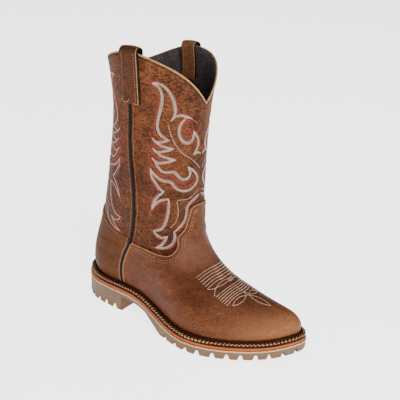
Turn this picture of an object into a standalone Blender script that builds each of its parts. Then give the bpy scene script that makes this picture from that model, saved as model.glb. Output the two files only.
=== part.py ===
"""Right pull-on work boot with a scalloped shaft, two pull straps and a lugged welted sole.

The boot stands on z = 0 with its toe along +X, its outer side at -Y and its inner side at +Y.
Sizes below are in millimetres. A station is a distance forward from the back of the sole, and a
side is a distance from the line through the middle of the heel, negative towards the outer side.
"""

import math

import bmesh
import bpy
import numpy as np
from mathutils import Vector

# Driving dimensions
MM = 0.001
SOLE_LENGTH = 296.0
HEEL_HEIGHT = 26.0
FOREFOOT_HEIGHT = 12.0
HEEL_LENGTH = 77.0
ARCH_STEP = 118.0
TREAD_START = 147.0
TOP_LEVEL_START = 82.0
TOP_LEVEL_END = 182.0
SHANK_THICKNESS = 7.0
TOE_SPRING = 5.0
SPRING_START = 236.0
LUG_DEPTH = 6.6
LUG_PITCH = 16.0
HEEL_LUG_DEPTH = 6.4
HEEL_LUG_PITCH = 13.8
MIDSOLE_THICKNESS = 3.0
WELT_THICKNESS = 2.6
LEDGE = 9.0
STORM_RIB_HEIGHT = 3.4
INSOLE_THICKNESS = 5.0
LEATHER = 2.4
OVERLAY_LEATHER = 1.2
STRAP_LEATHER = 2.0
PIPING_RADIUS = 2.0
GAP = 0.3
ANKLE_HEIGHT = 122.0
BULGE = 3.0
BULGE_HEIGHT = 16.0
SHAFT_MIDDLE = 2.0
SIDE_MIDDLE = -5.63

# The sole's edge, seen from above: one row for each landmark, once round the foot.
SOLE_LANDMARKS = (
    # landmark, station, side
    ("back of the heel", 0.0, 0.0),
    ("outer heel", 27.0, -33.5),
    ("outer waist", 105.0, -44.0),
    ("outer ball", 195.0, -66.0),
    ("outer toe", 262.0, -33.0),
    ("outer toe corner", 285.0, -9.0),
    ("toe tip", SOLE_LENGTH, 16.0),
    ("inner toe corner", 287.0, 32.5),
    ("inner toe", 263.0, 41.5),
    ("inner ball", 212.0, 48.5),
    ("inner waist", 118.0, 33.0),
    ("inner heel", 27.0, 34.0),
)

# The line down the front of the boot, from the toe over the ridge of the vamp to the collar.
FRONT_PROFILE = (
    # station, height
    (290.0, 33.0),
    (287.2, 40.5),
    (280.0, 46.5),
    (268.0, 51.0),
    (248.0, 56.0),
    (231.0, 61.5),
    (214.0, 69.0),
    (200.0, 76.0),
    (186.0, 83.8),
    (174.0, 92.0),
    (165.0, 101.0),
    (159.8, 111.5),
    (157.5, ANKLE_HEIGHT),
    (155.5, 150.0),
    (154.5, 190.0),
    (154.5, 225.0),
    (157.0, 260.0),
    (163.5, 300.0),
    (168.0, 335.0),
)

# The line up the back of the boot, from the heel seat to the collar.
BACK_PROFILE = (
    # station, height
    (6.8, 44.0),
    (7.6, 58.0),
    (11.5, 80.0),
    (17.0, 101.0),
    (21.8, ANKLE_HEIGHT),
    (27.5, 148.0),
    (31.0, 172.0),
    (35.0, 205.0),
    (38.5, 235.0),
    (38.5, 258.0),
    (33.5, 285.0),
    (29.0, 305.0),
    (24.0, 335.0),
)

# Half the width of the shaft at each height.
SHAFT_WIDTHS = (
    # height, half width
    (60.0, 35.0),
    (100.0, 38.5),
    (ANKLE_HEIGHT, 41.0),
    (150.0, 44.5),
    (200.0, 47.5),
    (260.0, 48.5),
    (300.0, 50.5),
    (335.0, 52.5),
)

# The side seam that the piping covers, seen from the side. The inner seam lies further forward.
SIDE_SEAM = (
    # height, outer station, inner station
    (25.0, 74.0, 74.0),
    (45.0, 72.8, 72.8),
    (60.0, 73.2, 73.2),
    (76.0, 77.5, 77.5),
    (95.0, 85.5, 85.5),
    (116.0, 91.0, 92.5),
    (146.0, 95.0, 99.0),
    (173.0, 94.5, 101.0),
    (211.0, 91.5, 101.0),
    (265.0, 90.5, 101.0),
    (335.0, 90.5, 101.0),
)

# The scalloped collar: turn is 0 at the front, 90 at the side seams and 180 at the back.
COLLAR = (
    # turn, outer height, inner height
    (0.0, 267.0, 267.0),
    (14.0, 280.0, 279.0),
    (28.0, 292.5, 292.0),
    (42.0, 303.0, 304.0),
    (56.0, 310.5, 311.0),
    (72.0, 317.0, 315.0),
    (90.0, 321.0, 316.0),
    (110.0, 317.0, 308.5),
    (126.0, 312.0, 300.0),
    (146.0, 304.0, 293.0),
    (165.0, 295.0, 288.0),
    (180.0, 285.0, 285.0),
)

# The vamp's top edge, seen from the side, from the seam up to the tongue at the front.
VAMP_EDGE = (
    # station, height
    (108.0, 90.5),
    (128.0, 91.5),
    (143.0, 94.0),
    (147.5, 98.0),
    (147.5, 104.0),
    (144.5, 113.5),
    (146.5, 120.0),
    (150.5, 127.0),
    (151.5, 140.0),
    (153.0, 148.0),
    (158.0, 151.5),
    (175.0, 151.5),
)

# The counter's top edge, seen from the side, from the back forward to the seam.
COUNTER_EDGE = (
    # station, height
    (14.0, 120.0),
    (31.5, 112.0),
    (38.0, 105.0),
    (54.0, 100.0),
    (70.0, 97.5),
)

# Stations where the rings of the sole lie, apart from those round its ends and at its steps.
WAIST_STATIONS = (58.0, 90.0, 104.0, 131.0)
BALL_STATIONS = (158.0, 171.0, 184.0, 200.0, 216.0, 232.0, 244.0)
HEEL_ROUND = 42.0
TOE_ROUND = 40.0
END_RINGS = 7
BREAST_SLOPE = 0.2

# Grid of the upper: columns on each side ahead of the seam and behind it, and rows.
COLUMNS_AHEAD = 14
COLUMNS_BEHIND = 7
FOOT_ROWS = 14
SHAFT_ROWS = 10

COLOURS = {
    "oiled brown leather": ((0.150, 0.075, 0.036), 0.50),
    "tan vamp leather": ((0.205, 0.110, 0.055), 0.48),
    "counter leather": ((0.140, 0.082, 0.042), 0.50),
    "black piping leather": ((0.018, 0.015, 0.014), 0.45),
    "strap leather": ((0.130, 0.064, 0.031), 0.50),
    "dark welt": ((0.085, 0.030, 0.022), 0.50),
    "orange midsole": ((0.560, 0.150, 0.035), 0.60),
    "taupe rubber": ((0.150, 0.125, 0.105), 0.75),
    "insole board": ((0.210, 0.130, 0.075), 0.80),
}


def material(name):
    """A plain finish for one piece."""
    colour, roughness = COLOURS[name]
    made = bpy.data.materials.new(name)
    made.use_nodes = True
    shader = made.node_tree.nodes["Principled BSDF"]
    shader.inputs["Base Color"].default_value = (*colour, 1.0)
    shader.inputs["Roughness"].default_value = roughness
    return made


def world(station, side, height):
    """A point of the boot in the part's own frame, in metres."""
    return Vector((station - SOLE_LENGTH / 2, side - SIDE_MIDDLE, height)) * MM


def ease(value, low, high):
    """0 below low, 1 above high, with a smooth step between them."""
    share = np.clip((value - low) / (high - low), 0.0, 1.0)
    return share * share * (3 - 2 * share)


def closed_curve(points, steps):
    """Points on a smooth closed curve through the given ones, spaced by their distances."""
    points = np.asarray(points, float)
    count = len(points)
    found = []
    for i in range(count):
        p0, p1, p2, p3 = (points[(i + k - 1) % count] for k in range(4))
        t1 = math.dist(p0, p1) ** 0.5
        t2 = t1 + math.dist(p1, p2) ** 0.5
        t3 = t2 + math.dist(p2, p3) ** 0.5
        for t in np.linspace(t1, t2, steps, endpoint=False):
            a1 = p0 + (p1 - p0) * t / t1
            a2 = p1 + (p2 - p1) * (t - t1) / (t2 - t1)
            a3 = p2 + (p3 - p2) * (t - t2) / (t3 - t2)
            b1 = a1 + (a2 - a1) * t / t2
            b2 = a2 + (a3 - a2) * (t - t1) / (t3 - t1)
            found.append(b1 + (b2 - b1) * (t - t1) / (t2 - t1))
    return np.array(found)


def smooth(value, rows):
    """The second column of a table at a value of its first, on a curve that never overshoots."""
    xs, ys = np.asarray(rows, float).T
    steps = np.diff(xs)
    slopes = np.diff(ys) / steps
    tangents = np.empty(len(xs))
    tangents[0] = slopes[0]
    tangents[-1] = slopes[-1]
    for i in range(1, len(slopes)):
        before, after = slopes[i - 1], slopes[i]
        tangents[i] = 0.0 if before * after <= 0 else 2 * before * after / (before + after)
    value = min(max(value, xs[0]), xs[-1])
    i = min(int(np.searchsorted(xs, value, side="right")) - 1, len(steps) - 1)
    t = (value - xs[i]) / steps[i]
    return float(
        (1 + 2 * t) * (1 - t) ** 2 * ys[i]
        + t * (1 - t) ** 2 * steps[i] * tangents[i]
        + t * t * (3 - 2 * t) * ys[i + 1]
        + t * t * (t - 1) * steps[i] * tangents[i + 1]
    )


# The sole's edge and its heights

SOLE_EDGE = closed_curve([row[1:] for row in SOLE_LANDMARKS], 40)
ALONG = np.roll(SOLE_EDGE, -1, axis=0) - np.roll(SOLE_EDGE, 1, axis=0)
OUTWARD = np.stack([ALONG[:, 1], -ALONG[:, 0]], axis=1)
OUTWARD /= np.linalg.norm(OUTWARD, axis=1, keepdims=True)
INSET_SIDES = {}


def inset_sides(inset):
    """The edge moved inwards: its outer and inner halves, each from the heel to the toe."""
    if inset not in INSET_SIDES:
        ring = SOLE_EDGE - OUTWARD * inset
        back, tip = int(np.argmin(ring[:, 0])), int(np.argmax(ring[:, 0]))
        ring = np.roll(ring, -back, axis=0)
        tip = (tip - back) % len(ring)
        outer = ring[: tip + 1]
        inner = np.concatenate([ring[:1], ring[tip:][::-1]])
        INSET_SIDES[inset] = {-1: outer, 1: inner}
    return INSET_SIDES[inset]


def edge_at(station, side, inset):
    """(station, side) on the inset edge, where 0 is its back and SOLE_LENGTH its tip."""
    half = inset_sides(inset)[side]
    low, high = half[0, 0], half[-1, 0]
    at = low + (high - low) * station / SOLE_LENGTH
    return at, float(np.interp(at, half[:, 0], half[:, 1]))


def toe_lift(station):
    """How far the toe springs off the floor."""
    return TOE_SPRING * max(0.0, (station - SPRING_START) / (SOLE_LENGTH - SPRING_START)) ** 2


def outsole_top(station):
    drop = ease(station, TOP_LEVEL_START, TOP_LEVEL_END)
    return HEEL_HEIGHT + (FOREFOOT_HEIGHT - HEEL_HEIGHT) * drop + toe_lift(station)


def outsole_bottom(station):
    """The heel block, the arch behind it and the tread of the forefoot."""
    if station < HEEL_LENGTH:
        return 0.0
    arch = outsole_top(min(station, ARCH_STEP)) - SHANK_THICKNESS
    step = np.clip((station - ARCH_STEP) / (TREAD_START - ARCH_STEP), 0.0, 1.0)
    return arch * (1 - step) + toe_lift(station)


def welt_top(station):
    return outsole_top(station) + MIDSOLE_THICKNESS + WELT_THICKNESS + 2 * GAP


def sole_stations():
    """Stations along the sole, close together round the heel and toe and at each step."""
    turns = np.radians(np.linspace(0, 90, END_RINGS))
    heel = HEEL_ROUND * (1 - np.cos(turns))
    toe = SOLE_LENGTH - TOE_ROUND * (1 - np.cos(turns))
    breast = (HEEL_LENGTH - BREAST_SLOPE, HEEL_LENGTH + BREAST_SLOPE)
    steps = (ARCH_STEP, TREAD_START)
    return sorted({*heel, *breast, *WAIST_STATIONS, *steps, *BALL_STATIONS, *toe})


STATIONS = sole_stations()

# Making meshes

parts = bpy.data.collections.new("work boot")
cutters = bpy.data.collections.new("cutters")


def clear_scene():
    for old in list(bpy.data.objects):
        bpy.data.objects.remove(old, do_unlink=True)
    bpy.context.scene.collection.children.link(parts)
    bpy.context.scene.collection.children.link(cutters)
    cutters.hide_render = True


def add_object(name, mesh, finish):
    made = bpy.data.objects.new(name, mesh)
    mesh.materials.append(material(finish))
    parts.objects.link(made)
    return made


def add_cutter(name, mesh):
    made = bpy.data.objects.new(name, mesh)
    made.hide_render = True
    made.display_type = "WIRE"
    cutters.objects.link(made)
    return made


def cut(target, cutter, operation="DIFFERENCE", overlapping=False):
    modifier = target.modifiers.new(cutter.name, "BOOLEAN")
    modifier.operation = operation
    modifier.solver = "EXACT"
    modifier.use_self = overlapping
    modifier.object = cutter


def finished(shape, name, angle=40):
    """The bmesh as a mesh, facing outwards, smooth but for its sharp edges."""
    bmesh.ops.recalc_face_normals(shape, faces=shape.faces)
    mesh = bpy.data.meshes.new(name)
    shape.to_mesh(mesh)
    shape.free()
    mesh.shade_smooth()
    mesh.set_sharp_from_angle(angle=math.radians(angle))
    return mesh


def bridge(shape, ring_a, ring_b, closed=True):
    """Faces between two rows of vertices."""
    count = len(ring_a) if closed else len(ring_a) - 1
    for i in range(count):
        j = (i + 1) % len(ring_a)
        corners = list(dict.fromkeys((ring_a[i], ring_a[j], ring_b[j], ring_b[i])))
        if len(corners) > 2:
            shape.faces.new(corners)


def sole_ring(shape, inset, height):
    """Vertices once round the inset edge: the outer side forward, then the inner side back."""
    ring = []
    for station in STATIONS:
        ring.append(shape.verts.new(world(*edge_at(station, -1, inset), height(station))))
    for station in STATIONS[-2:0:-1]:
        ring.append(shape.verts.new(world(*edge_at(station, 1, inset), height(station))))
    return ring


def cap(shape, ring):
    """Strips across the foot that fill a ring made by sole_ring."""
    for i in range(len(STATIONS) - 1):
        pair = (ring[i], ring[i + 1], ring[-i - 1], ring[-i])
        corners = list(dict.fromkeys(pair))
        shape.faces.new(corners)


def sole_layer(name, rows):
    """A closed layer of the sole: rows of (inset, height function), from the bottom up."""
    shape = bmesh.new()
    rings = [sole_ring(shape, inset, height) for inset, height in rows]
    for low, high in zip(rings, rings[1:]):
        bridge(shape, low, high)
    cap(shape, rings[0])
    cap(shape, rings[-1])
    return finished(shape, name)


# Outsole, midsole, welt and insole

LIP_HEIGHT = 1.8
LIP_REACH = 0.5
TREAD_CHAMFER = 1.0
EDGE_ROUND = 0.5
EDGE_INSET = 0.3

# Notches and channels of the tread: widths are at the floor and at the bottom of the cut.
BELOW_FLOOR = -1.0
CUT_OVERSHOOT = 4.0
HEEL_NOTCH_REACH = 16.0
HEEL_NOTCH_LEAN = 0.6
HEEL_NOTCH_WIDTHS = (5.6, 2.2)
HEEL_LAST_LUG = 11.8
NOTCH_REACH = 17.0
NOTCH_WIDTHS = (8.2, 2.2)
LUG_PHASE = 0.92
NOTCH_MARGIN = 5.0
RAIL_INSET = 15.0
RAIL_WIDTH = 4.0
RAIL_MARGIN = 8.0
RAIL_TOE_MARGIN = 22.0
BAR_PITCH = 15.0
BAR_WIDTHS = (5.0, 3.5)
BAR_MARGIN = 12.0
BAR_TOE_MARGIN = 30.0


def outsole():
    """The unit sole: heel block, arched shank and forefoot, with a lip along its top edge."""
    rows = (
        (TREAD_CHAMFER, outsole_bottom),
        (0.0, lambda s: outsole_bottom(s) + TREAD_CHAMFER),
        (0.0, lambda s: outsole_top(s) - LIP_HEIGHT - LIP_REACH),
        (-LIP_REACH, lambda s: outsole_top(s) - LIP_HEIGHT),
        (-LIP_REACH, outsole_top),
    )
    made = add_object("outsole", sole_layer("outsole", rows), "taupe rubber")
    cut(made, add_cutter("edge notches", edge_notches()), overlapping=True)
    cut(made, add_cutter("tread channels", tread_channels()), overlapping=True)
    return made


def add_wedge(shape, foot, along, inward, reach, widths, height):
    """A prism with sloping flanks that runs inwards from a point of the edge."""
    wide, narrow = widths
    profile = ((-wide, BELOW_FLOOR), (wide, BELOW_FLOOR), (narrow, height), (-narrow, height))
    corners = []
    for out in (-CUT_OVERSHOOT, reach):
        at = foot + inward * out
        for width, z in profile:
            spot = at + along * width / 2
            corners.append(shape.verts.new(world(spot[0], spot[1], z)))
    front, back = corners[:4], corners[4:]
    shape.faces.new(front)
    shape.faces.new(back)
    bridge(shape, front, back)


def edge_notches():
    """Notches between the lugs, from the breast back round the heel and round the forefoot."""
    shape = bmesh.new()
    steps = np.linalg.norm(np.roll(SOLE_EDGE, -1, axis=0) - SOLE_EDGE, axis=1)
    lengths = np.concatenate([[0.0], np.cumsum(steps)])
    ahead_of_heel = np.flatnonzero(SOLE_EDGE[:, 0] > HEEL_LENGTH)
    outer_breast, inner_breast = lengths[ahead_of_heel[[0, -1]]]

    def add_notch(at, reach, widths, depth, lean=0.0):
        k = int(np.searchsorted(lengths, at)) % len(SOLE_EDGE)
        inward = -OUTWARD[k] - np.array([lean * abs(OUTWARD[k, 1]), 0.0])
        inward /= np.linalg.norm(inward)
        along = np.array([-inward[1], inward[0]])
        add_wedge(shape, SOLE_EDGE[k], along, inward, reach, widths, depth + toe_lift(SOLE_EDGE[k, 0]))

    for from_breast in np.arange(HEEL_LAST_LUG, outer_breast, HEEL_LUG_PITCH):
        for at in (outer_breast - from_breast, inner_breast + from_breast):
            add_notch(at, HEEL_NOTCH_REACH, HEEL_NOTCH_WIDTHS, HEEL_LUG_DEPTH, HEEL_NOTCH_LEAN)
    notches = int(lengths[-1] / LUG_PITCH)
    for i in range(notches):
        at = (i + LUG_PHASE) * lengths[-1] / notches
        if np.interp(at, lengths[:-1], SOLE_EDGE[:, 0]) > TREAD_START + NOTCH_MARGIN:
            add_notch(at, NOTCH_REACH, NOTCH_WIDTHS, LUG_DEPTH)
    return finished(shape, "edge notches")


def tread_channels():
    """A channel inside the edge lugs of the forefoot, and bars across the middle of the tread."""
    shape = bmesh.new()
    stops = np.linspace(TREAD_START + RAIL_MARGIN, SOLE_LENGTH - RAIL_TOE_MARGIN, 9)
    for side in (-1, 1):
        rows = []
        for station in stops:
            outer = edge_at(station, side, RAIL_INSET)
            inner = edge_at(station, side, RAIL_INSET + RAIL_WIDTH)
            floor = LUG_DEPTH + toe_lift(station)
            low = (world(*outer, BELOW_FLOOR), world(*inner, BELOW_FLOOR))
            high = (world(*inner, floor), world(*outer, floor))
            rows.append([shape.verts.new(spot) for spot in low + high])
        for low, high in zip(rows, rows[1:]):
            bridge(shape, low, high)
        shape.faces.new(rows[0])
        shape.faces.new(rows[-1])
    along, across = np.array([1.0, 0.0]), np.array([0.0, 1.0])
    for station in np.arange(TREAD_START + BAR_MARGIN, SOLE_LENGTH - BAR_TOE_MARGIN, BAR_PITCH):
        start = np.array(edge_at(station, -1, RAIL_INSET + RAIL_WIDTH / 2))
        end = np.array(edge_at(station, 1, RAIL_INSET + RAIL_WIDTH / 2))
        floor = LUG_DEPTH + toe_lift(station)
        foot = start + across * CUT_OVERSHOOT
        add_wedge(shape, foot, along, across, end[1] - start[1] - CUT_OVERSHOOT, BAR_WIDTHS, floor)
    return finished(shape, "tread channels")


def midsole():
    def low(station):
        return outsole_top(station) + GAP

    def high(station):
        return low(station) + MIDSOLE_THICKNESS

    rows = (
        (EDGE_INSET, low),
        (0.0, lambda s: low(s) + EDGE_ROUND),
        (0.0, lambda s: high(s) - EDGE_ROUND),
        (EDGE_INSET, high),
    )
    return add_object("midsole", sole_layer("midsole", rows), "orange midsole")


WELT_EDGE_INSET = 0.4
RIB_OUTER_INSET = 3.6
RIB_INNER_INSET = 6.0
RIB_SHOULDER = 0.8
WELT_INNER_INSET = LEDGE + LEATHER + 2 * GAP


def welt():
    """The strip that the upper is sewn to, with a raised rib against the foot of the upper."""
    outline = (
        # inset, height over the welt's own top
        (WELT_INNER_INSET, -WELT_THICKNESS),
        (WELT_EDGE_INSET, -WELT_THICKNESS),
        (WELT_EDGE_INSET, -EDGE_ROUND),
        (WELT_EDGE_INSET + EDGE_ROUND, 0.0),
        (RIB_OUTER_INSET, 0.0),
        (RIB_OUTER_INSET + EDGE_ROUND, STORM_RIB_HEIGHT - RIB_SHOULDER),
        (RIB_OUTER_INSET + EDGE_ROUND + RIB_SHOULDER, STORM_RIB_HEIGHT),
        (RIB_INNER_INSET, STORM_RIB_HEIGHT - RIB_SHOULDER / 2),
        (RIB_INNER_INSET + RIB_SHOULDER, 0.0),
        (WELT_INNER_INSET, 0.0),
    )
    shape = bmesh.new()
    rings = [sole_ring(shape, inset, lambda s, up=up: welt_top(s) + up) for inset, up in outline]
    for low, high in zip(rings, rings[1:] + rings[:1]):
        bridge(shape, low, high)
    return add_object("welt", finished(shape, "welt"), "dark welt")


def insole():
    """The board that the foot stands on, inside the welt and on the midsole."""
    inset = WELT_INNER_INSET + 2 * GAP

    def low(station):
        return outsole_top(station) + MIDSOLE_THICKNESS + 2 * GAP

    rows = ((inset, low), (inset, lambda s: low(s) + INSOLE_THICKNESS))
    return add_object("insole", sole_layer("insole", rows), "insole board")


# The upper's surface

SEAM_TURN = 90.0


def profile(rows):
    """A curve through a profile table, with its length at each point."""
    points = np.asarray(rows, float)
    xs = np.concatenate([[0.0], np.cumsum(np.linalg.norm(np.diff(points, axis=0), axis=1))])
    return xs, points


def profile_at(rows, length):
    xs, points = profile(rows)
    return tuple(smooth(length, np.stack([xs, points[:, axis]], axis=1)) for axis in (0, 1))


def length_to(rows, height):
    xs, points = profile(rows)
    return float(xs[np.argmin(abs(points[:, 1] - height))])


def feather_height(station):
    """The welt's top under the foot of the upper."""
    outer = inset_sides(LEDGE)[-1]
    return welt_top(SOLE_LENGTH * (station - outer[0, 0]) / (outer[-1, 0] - outer[0, 0]))


def from_feather_line(rows, station):
    """A profile that starts just above the welt."""
    return ((station, feather_height(station) + GAP), *rows)


FRONT_PROFILE = from_feather_line(FRONT_PROFILE, SOLE_LENGTH - LEDGE)
BACK_PROFILE = from_feather_line(BACK_PROFILE, LEDGE)
FRONT_LENGTH = length_to(FRONT_PROFILE, ANKLE_HEIGHT)
BACK_LENGTH = length_to(BACK_PROFILE, ANKLE_HEIGHT)
TOE_REACH, TOE_REACH_HEIGHT = FRONT_PROFILE[1]
RIDGE_LENGTHS = np.linspace(length_to(FRONT_PROFILE, TOE_REACH_HEIGHT), FRONT_LENGTH, 120)
RIDGE = np.array([profile_at(FRONT_PROFILE, length) for length in RIDGE_LENGTHS])[::-1]
RIDGE_RISE = 8.0
CROWN_START = 0.2
CROWN_POWER = 1.35
CROWN_ROUND = 0.56
SHAFT_BLEND_START = 0.4
BULGE_FADE = 15.0
SEAM_HEIGHT_SHARE = 0.35
SAG_END = 0.5


def ridge_height(station):
    """The top of the foot at a station; behind the throat it is the shaft's front and runs up."""
    throat = RIDGE[0]
    if station < throat[0]:
        return throat[1] + (throat[0] - station) * RIDGE_RISE
    return float(np.interp(station, RIDGE[:, 0], RIDGE[:, 1]))


def front_at(height):
    upper = [(row[1], row[0]) for row in FRONT_PROFILE if row[1] >= ANKLE_HEIGHT]
    return smooth(height, upper)


def back_at(height):
    return smooth(height, [(row[1], row[0]) for row in BACK_PROFILE])


def on_side(rows, side):
    """The column of a table for the outer side, -1, or the inner side, 1."""
    return [(row[0], row[1] if side < 0 else row[2]) for row in rows]


def collar_height(turn, side):
    return smooth(turn, on_side(COLLAR, side))


def seam_station(height, side):
    return smooth(height, on_side(SIDE_SEAM, side))


def share_along(turn, seam_share):
    """How far along a section, 0 at its back and 1 at its front, a turn lies."""
    seam_angle = math.acos(1 - 2 * seam_share)
    if turn > SEAM_TURN:
        angle = seam_angle * (180 - turn) / (180 - SEAM_TURN)
    else:
        angle = math.pi - (math.pi - seam_angle) * turn / SEAM_TURN
    return (1 - math.cos(angle)) / 2


def foot_side(station, height, side, back, front):
    """The side of the foot at a station and height, worked out from the feather line below it."""
    tip = TOE_REACH if height > TOE_REACH_HEIGHT else front
    on_plan = SOLE_LENGTH * np.clip((station - back) / (tip - back), 0.0, 1.0)
    outer = edge_at(on_plan, -1, LEDGE)[1]
    inner = edge_at(on_plan, 1, LEDGE)[1]
    middle, half = (outer + inner) / 2, (inner - outer) / 2
    floor = welt_top(on_plan)
    half += BULGE * float(ease(height - floor, 0.0, BULGE_HEIGHT)) * min(1.0, half / BULGE_FADE)
    rise = (height - floor) / max(1.0, ridge_height(station) - floor)
    crown = np.clip((rise - CROWN_START) / (1 - CROWN_START), 0.0, 1.0)
    return middle, half * (1 - crown**CROWN_POWER) ** CROWN_ROUND


def section(row):
    """Ends of a tilted section through the foot, row 0 at the feather line and 1 at the ankle."""
    front = profile_at(FRONT_PROFILE, FRONT_LENGTH * row)
    back = profile_at(BACK_PROFILE, BACK_LENGTH * row)
    return front, back


def upper_point(angle, row):
    """The upper's outer face. Angle is signed, 0 at the front and negative on the outer side."""
    angle = (angle + 180) % 360 - 180
    turn = abs(angle)
    side = 1 if angle > 0 else -1
    if row > 1:
        height = ANKLE_HEIGHT + (collar_height(turn, side) - ANKLE_HEIGHT) * (row - 1)
        back, front = back_at(height), front_at(height)
        seam = (seam_station(height, side) - back) / (front - back)
        share = share_along(turn, seam)
        width = smooth(height, SHAFT_WIDTHS) * 2 * math.sqrt(share * (1 - share))
        return np.array([back + share * (front - back), SHAFT_MIDDLE + side * width, height])
    (front, front_z), (back, back_z) = section(row)
    seam_z = back_z + SEAM_HEIGHT_SHARE * (front_z - back_z)
    share = share_along(turn, (seam_station(seam_z, side) - back) / (front - back))
    station = back + share * (front - back)
    height = back_z + share * (front_z - back_z)
    level = feather_height(back) + share * (feather_height(front) - feather_height(back))
    sag = feather_height(station) - level
    height += sag * max(0.0, 1 - row / SAG_END) ** 2
    middle, half = foot_side(station, height, side, back, front)
    to_shaft = float(ease(row, SHAFT_BLEND_START, 1.0))
    shaft_half = smooth(height, SHAFT_WIDTHS) * 2 * math.sqrt(share * (1 - share))
    half += (shaft_half - half) * to_shaft
    middle += (SHAFT_MIDDLE - middle) * to_shaft
    return np.array([station, middle + side * half, height])


def upper_skin(angle, row, out):
    """A point out from the upper's face by a distance along its normal."""
    turn_step, row_step = 2.0, 0.015
    low, high = max(0.0, row - row_step), min(2.0, row + row_step)
    round_foot = upper_point(angle + turn_step, row) - upper_point(angle - turn_step, row)
    up_foot = upper_point(angle, high) - upper_point(angle, low)
    normal = np.cross(round_foot, up_foot)
    normal /= np.linalg.norm(normal)
    return upper_point(angle, row) + normal * out


def column_angles():
    """Signed angles of the grid's columns, once round the foot from the back."""
    ahead = np.linspace(0, SEAM_TURN, COLUMNS_AHEAD + 1)
    behind = np.linspace(SEAM_TURN, 180, COLUMNS_BEHIND + 1)
    half = [*ahead, *behind[1:]]
    return [-turn for turn in half[::-1]] + [turn for turn in half[1:-1]]


ANGLES = column_angles()
OVERLAY_FOOT_ROW = 0.015
FOOT_GRID = np.linspace(0, 1, FOOT_ROWS + 1)
SHAFT_GRID = np.linspace(1, 2, SHAFT_ROWS + 1)
ROWS = sorted({OVERLAY_FOOT_ROW, *FOOT_GRID, *SHAFT_GRID})


def skin_shell(name, rows, outs):
    """A closed wall on the upper's grid between two distances from its face."""
    shape = bmesh.new()
    layers = []
    for out in outs:
        rings = []
        for row in rows:
            spots = [world(*upper_skin(angle, row, out)) for angle in ANGLES]
            rings.append([shape.verts.new(spot) for spot in spots])
        layers.append(rings)
    for rings in layers:
        for low, high in zip(rings, rings[1:]):
            bridge(shape, low, high)
    for end in (0, -1):
        bridge(shape, layers[0][end], layers[1][end])
    bmesh.ops.triangulate(shape, faces=shape.faces, quad_method="FIXED")
    return finished(shape, name, 60)


def upper():
    """Foot and shaft as one hollow wall, open at the collar and underneath."""
    return add_object("upper", skin_shell("upper", ROWS, (-LEATHER, 0.0)), "oiled brown leather")


# Vamp and counter, cut from a skin that lies on the upper

SEAM_MARGIN = 3.4
OVERLAY_TOP_ROW = 1.25


def side_cutter(name, outline):
    """A flat side outline pushed through the whole width of the boot."""
    shape = bmesh.new()
    reach = SOLE_LENGTH / 2
    near = [shape.verts.new(world(station, -reach, height)) for station, height in outline]
    far = [shape.verts.new(world(station, reach, height)) for station, height in outline]
    shape.faces.new(near)
    shape.faces.new(far)
    bridge(shape, near, far)
    return add_cutter(name, finished(shape, name))


def seam_line(shift, heights):
    return [(seam_station(height, -1) + shift, height) for height in heights]


def overlay(name, outline, finish):
    rows = [row for row in ROWS if OVERLAY_FOOT_ROW <= row <= OVERLAY_TOP_ROW]
    made = add_object(name, skin_shell(name, rows, (GAP, GAP + OVERLAY_LEATHER)), finish)
    cut(made, side_cutter(name + " outline", outline), "INTERSECT")
    return made


def vamp():
    """The front panel of the foot, up to the side seams and the tongue."""
    seam = seam_line(SEAM_MARGIN, (10.0, 45.0, 60.0, 76.0, 92.0))
    front = SOLE_LENGTH + 20
    outline = [*seam, *VAMP_EDGE, (front, VAMP_EDGE[-1][1]), (front, 10.0)]
    return overlay("vamp", outline, "tan vamp leather")


def counter():
    """The panel round the back of the heel."""
    seam = seam_line(-SEAM_MARGIN, (96.0, 76.0, 60.0, 45.0, 10.0))
    back = -20.0
    outline = [(back, COUNTER_EDGE[0][1]), *COUNTER_EDGE, *seam, (back, 10.0)]
    return overlay("counter", outline, "counter leather")


# Piping along the side seams

PIPING_START_ROW = 2 / FOOT_ROWS
STRAP_FOOT = 265.0


def shaft_row(angle, height):
    """The row of the shaft that lies at a height at one column."""
    side = 1 if angle > 0 else -1
    return 1 + (height - ANKLE_HEIGHT) / (collar_height(abs(angle), side) - ANKLE_HEIGHT)


def piping(name, side):
    """A bead from just above the welt up to the foot of the pull strap."""
    top = shaft_row(side * SEAM_TURN, STRAP_FOOT - 1.0)
    rows = [row for row in ROWS if PIPING_START_ROW <= row < top] + [top]
    out = GAP + PIPING_RADIUS
    spots = [upper_skin(side * SEAM_TURN, row, out) for row in rows]
    data = bpy.data.curves.new(name, "CURVE")
    data.dimensions = "3D"
    data.bevel_depth = PIPING_RADIUS * MM
    data.bevel_resolution = 1
    data.use_fill_caps = True
    spline = data.splines.new("POLY")
    spline.points.add(len(spots) - 1)
    for point, spot in zip(spline.points, spots):
        point.co = (*world(*spot), 1.0)
    return add_object(name, data, "black piping leather")


# Pull straps

STRAP_COLUMNS = (
    # side, column at the foot, column at the collar, both counted forward from the seam
    (-1, -1.0, -1.0),
    (-1, 0.0, 0.0),
    (-1, 1.0, 1.0),
    (-1, 2.0, 1.45),
    (1, -0.7, -0.6),
    (1, 0.0, 0.0),
    (1, 1.0, 1.0),
    (1, 1.8, 1.55),
)
STRAP_RISE = 0.8
LOOP_FLARE = 2.5
FLARE_START = 1.88
STRAP_INSIDE_ROWS = 3
ARC_STEPS = 6


def strap_angle(side, column):
    """The angle of a column of the strap, counted in the upper's grid columns from the seam."""
    pitch = SEAM_TURN / COLUMNS_AHEAD if column > 0 else (180 - SEAM_TURN) / COLUMNS_BEHIND
    return side * (SEAM_TURN - column * pitch)


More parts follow.
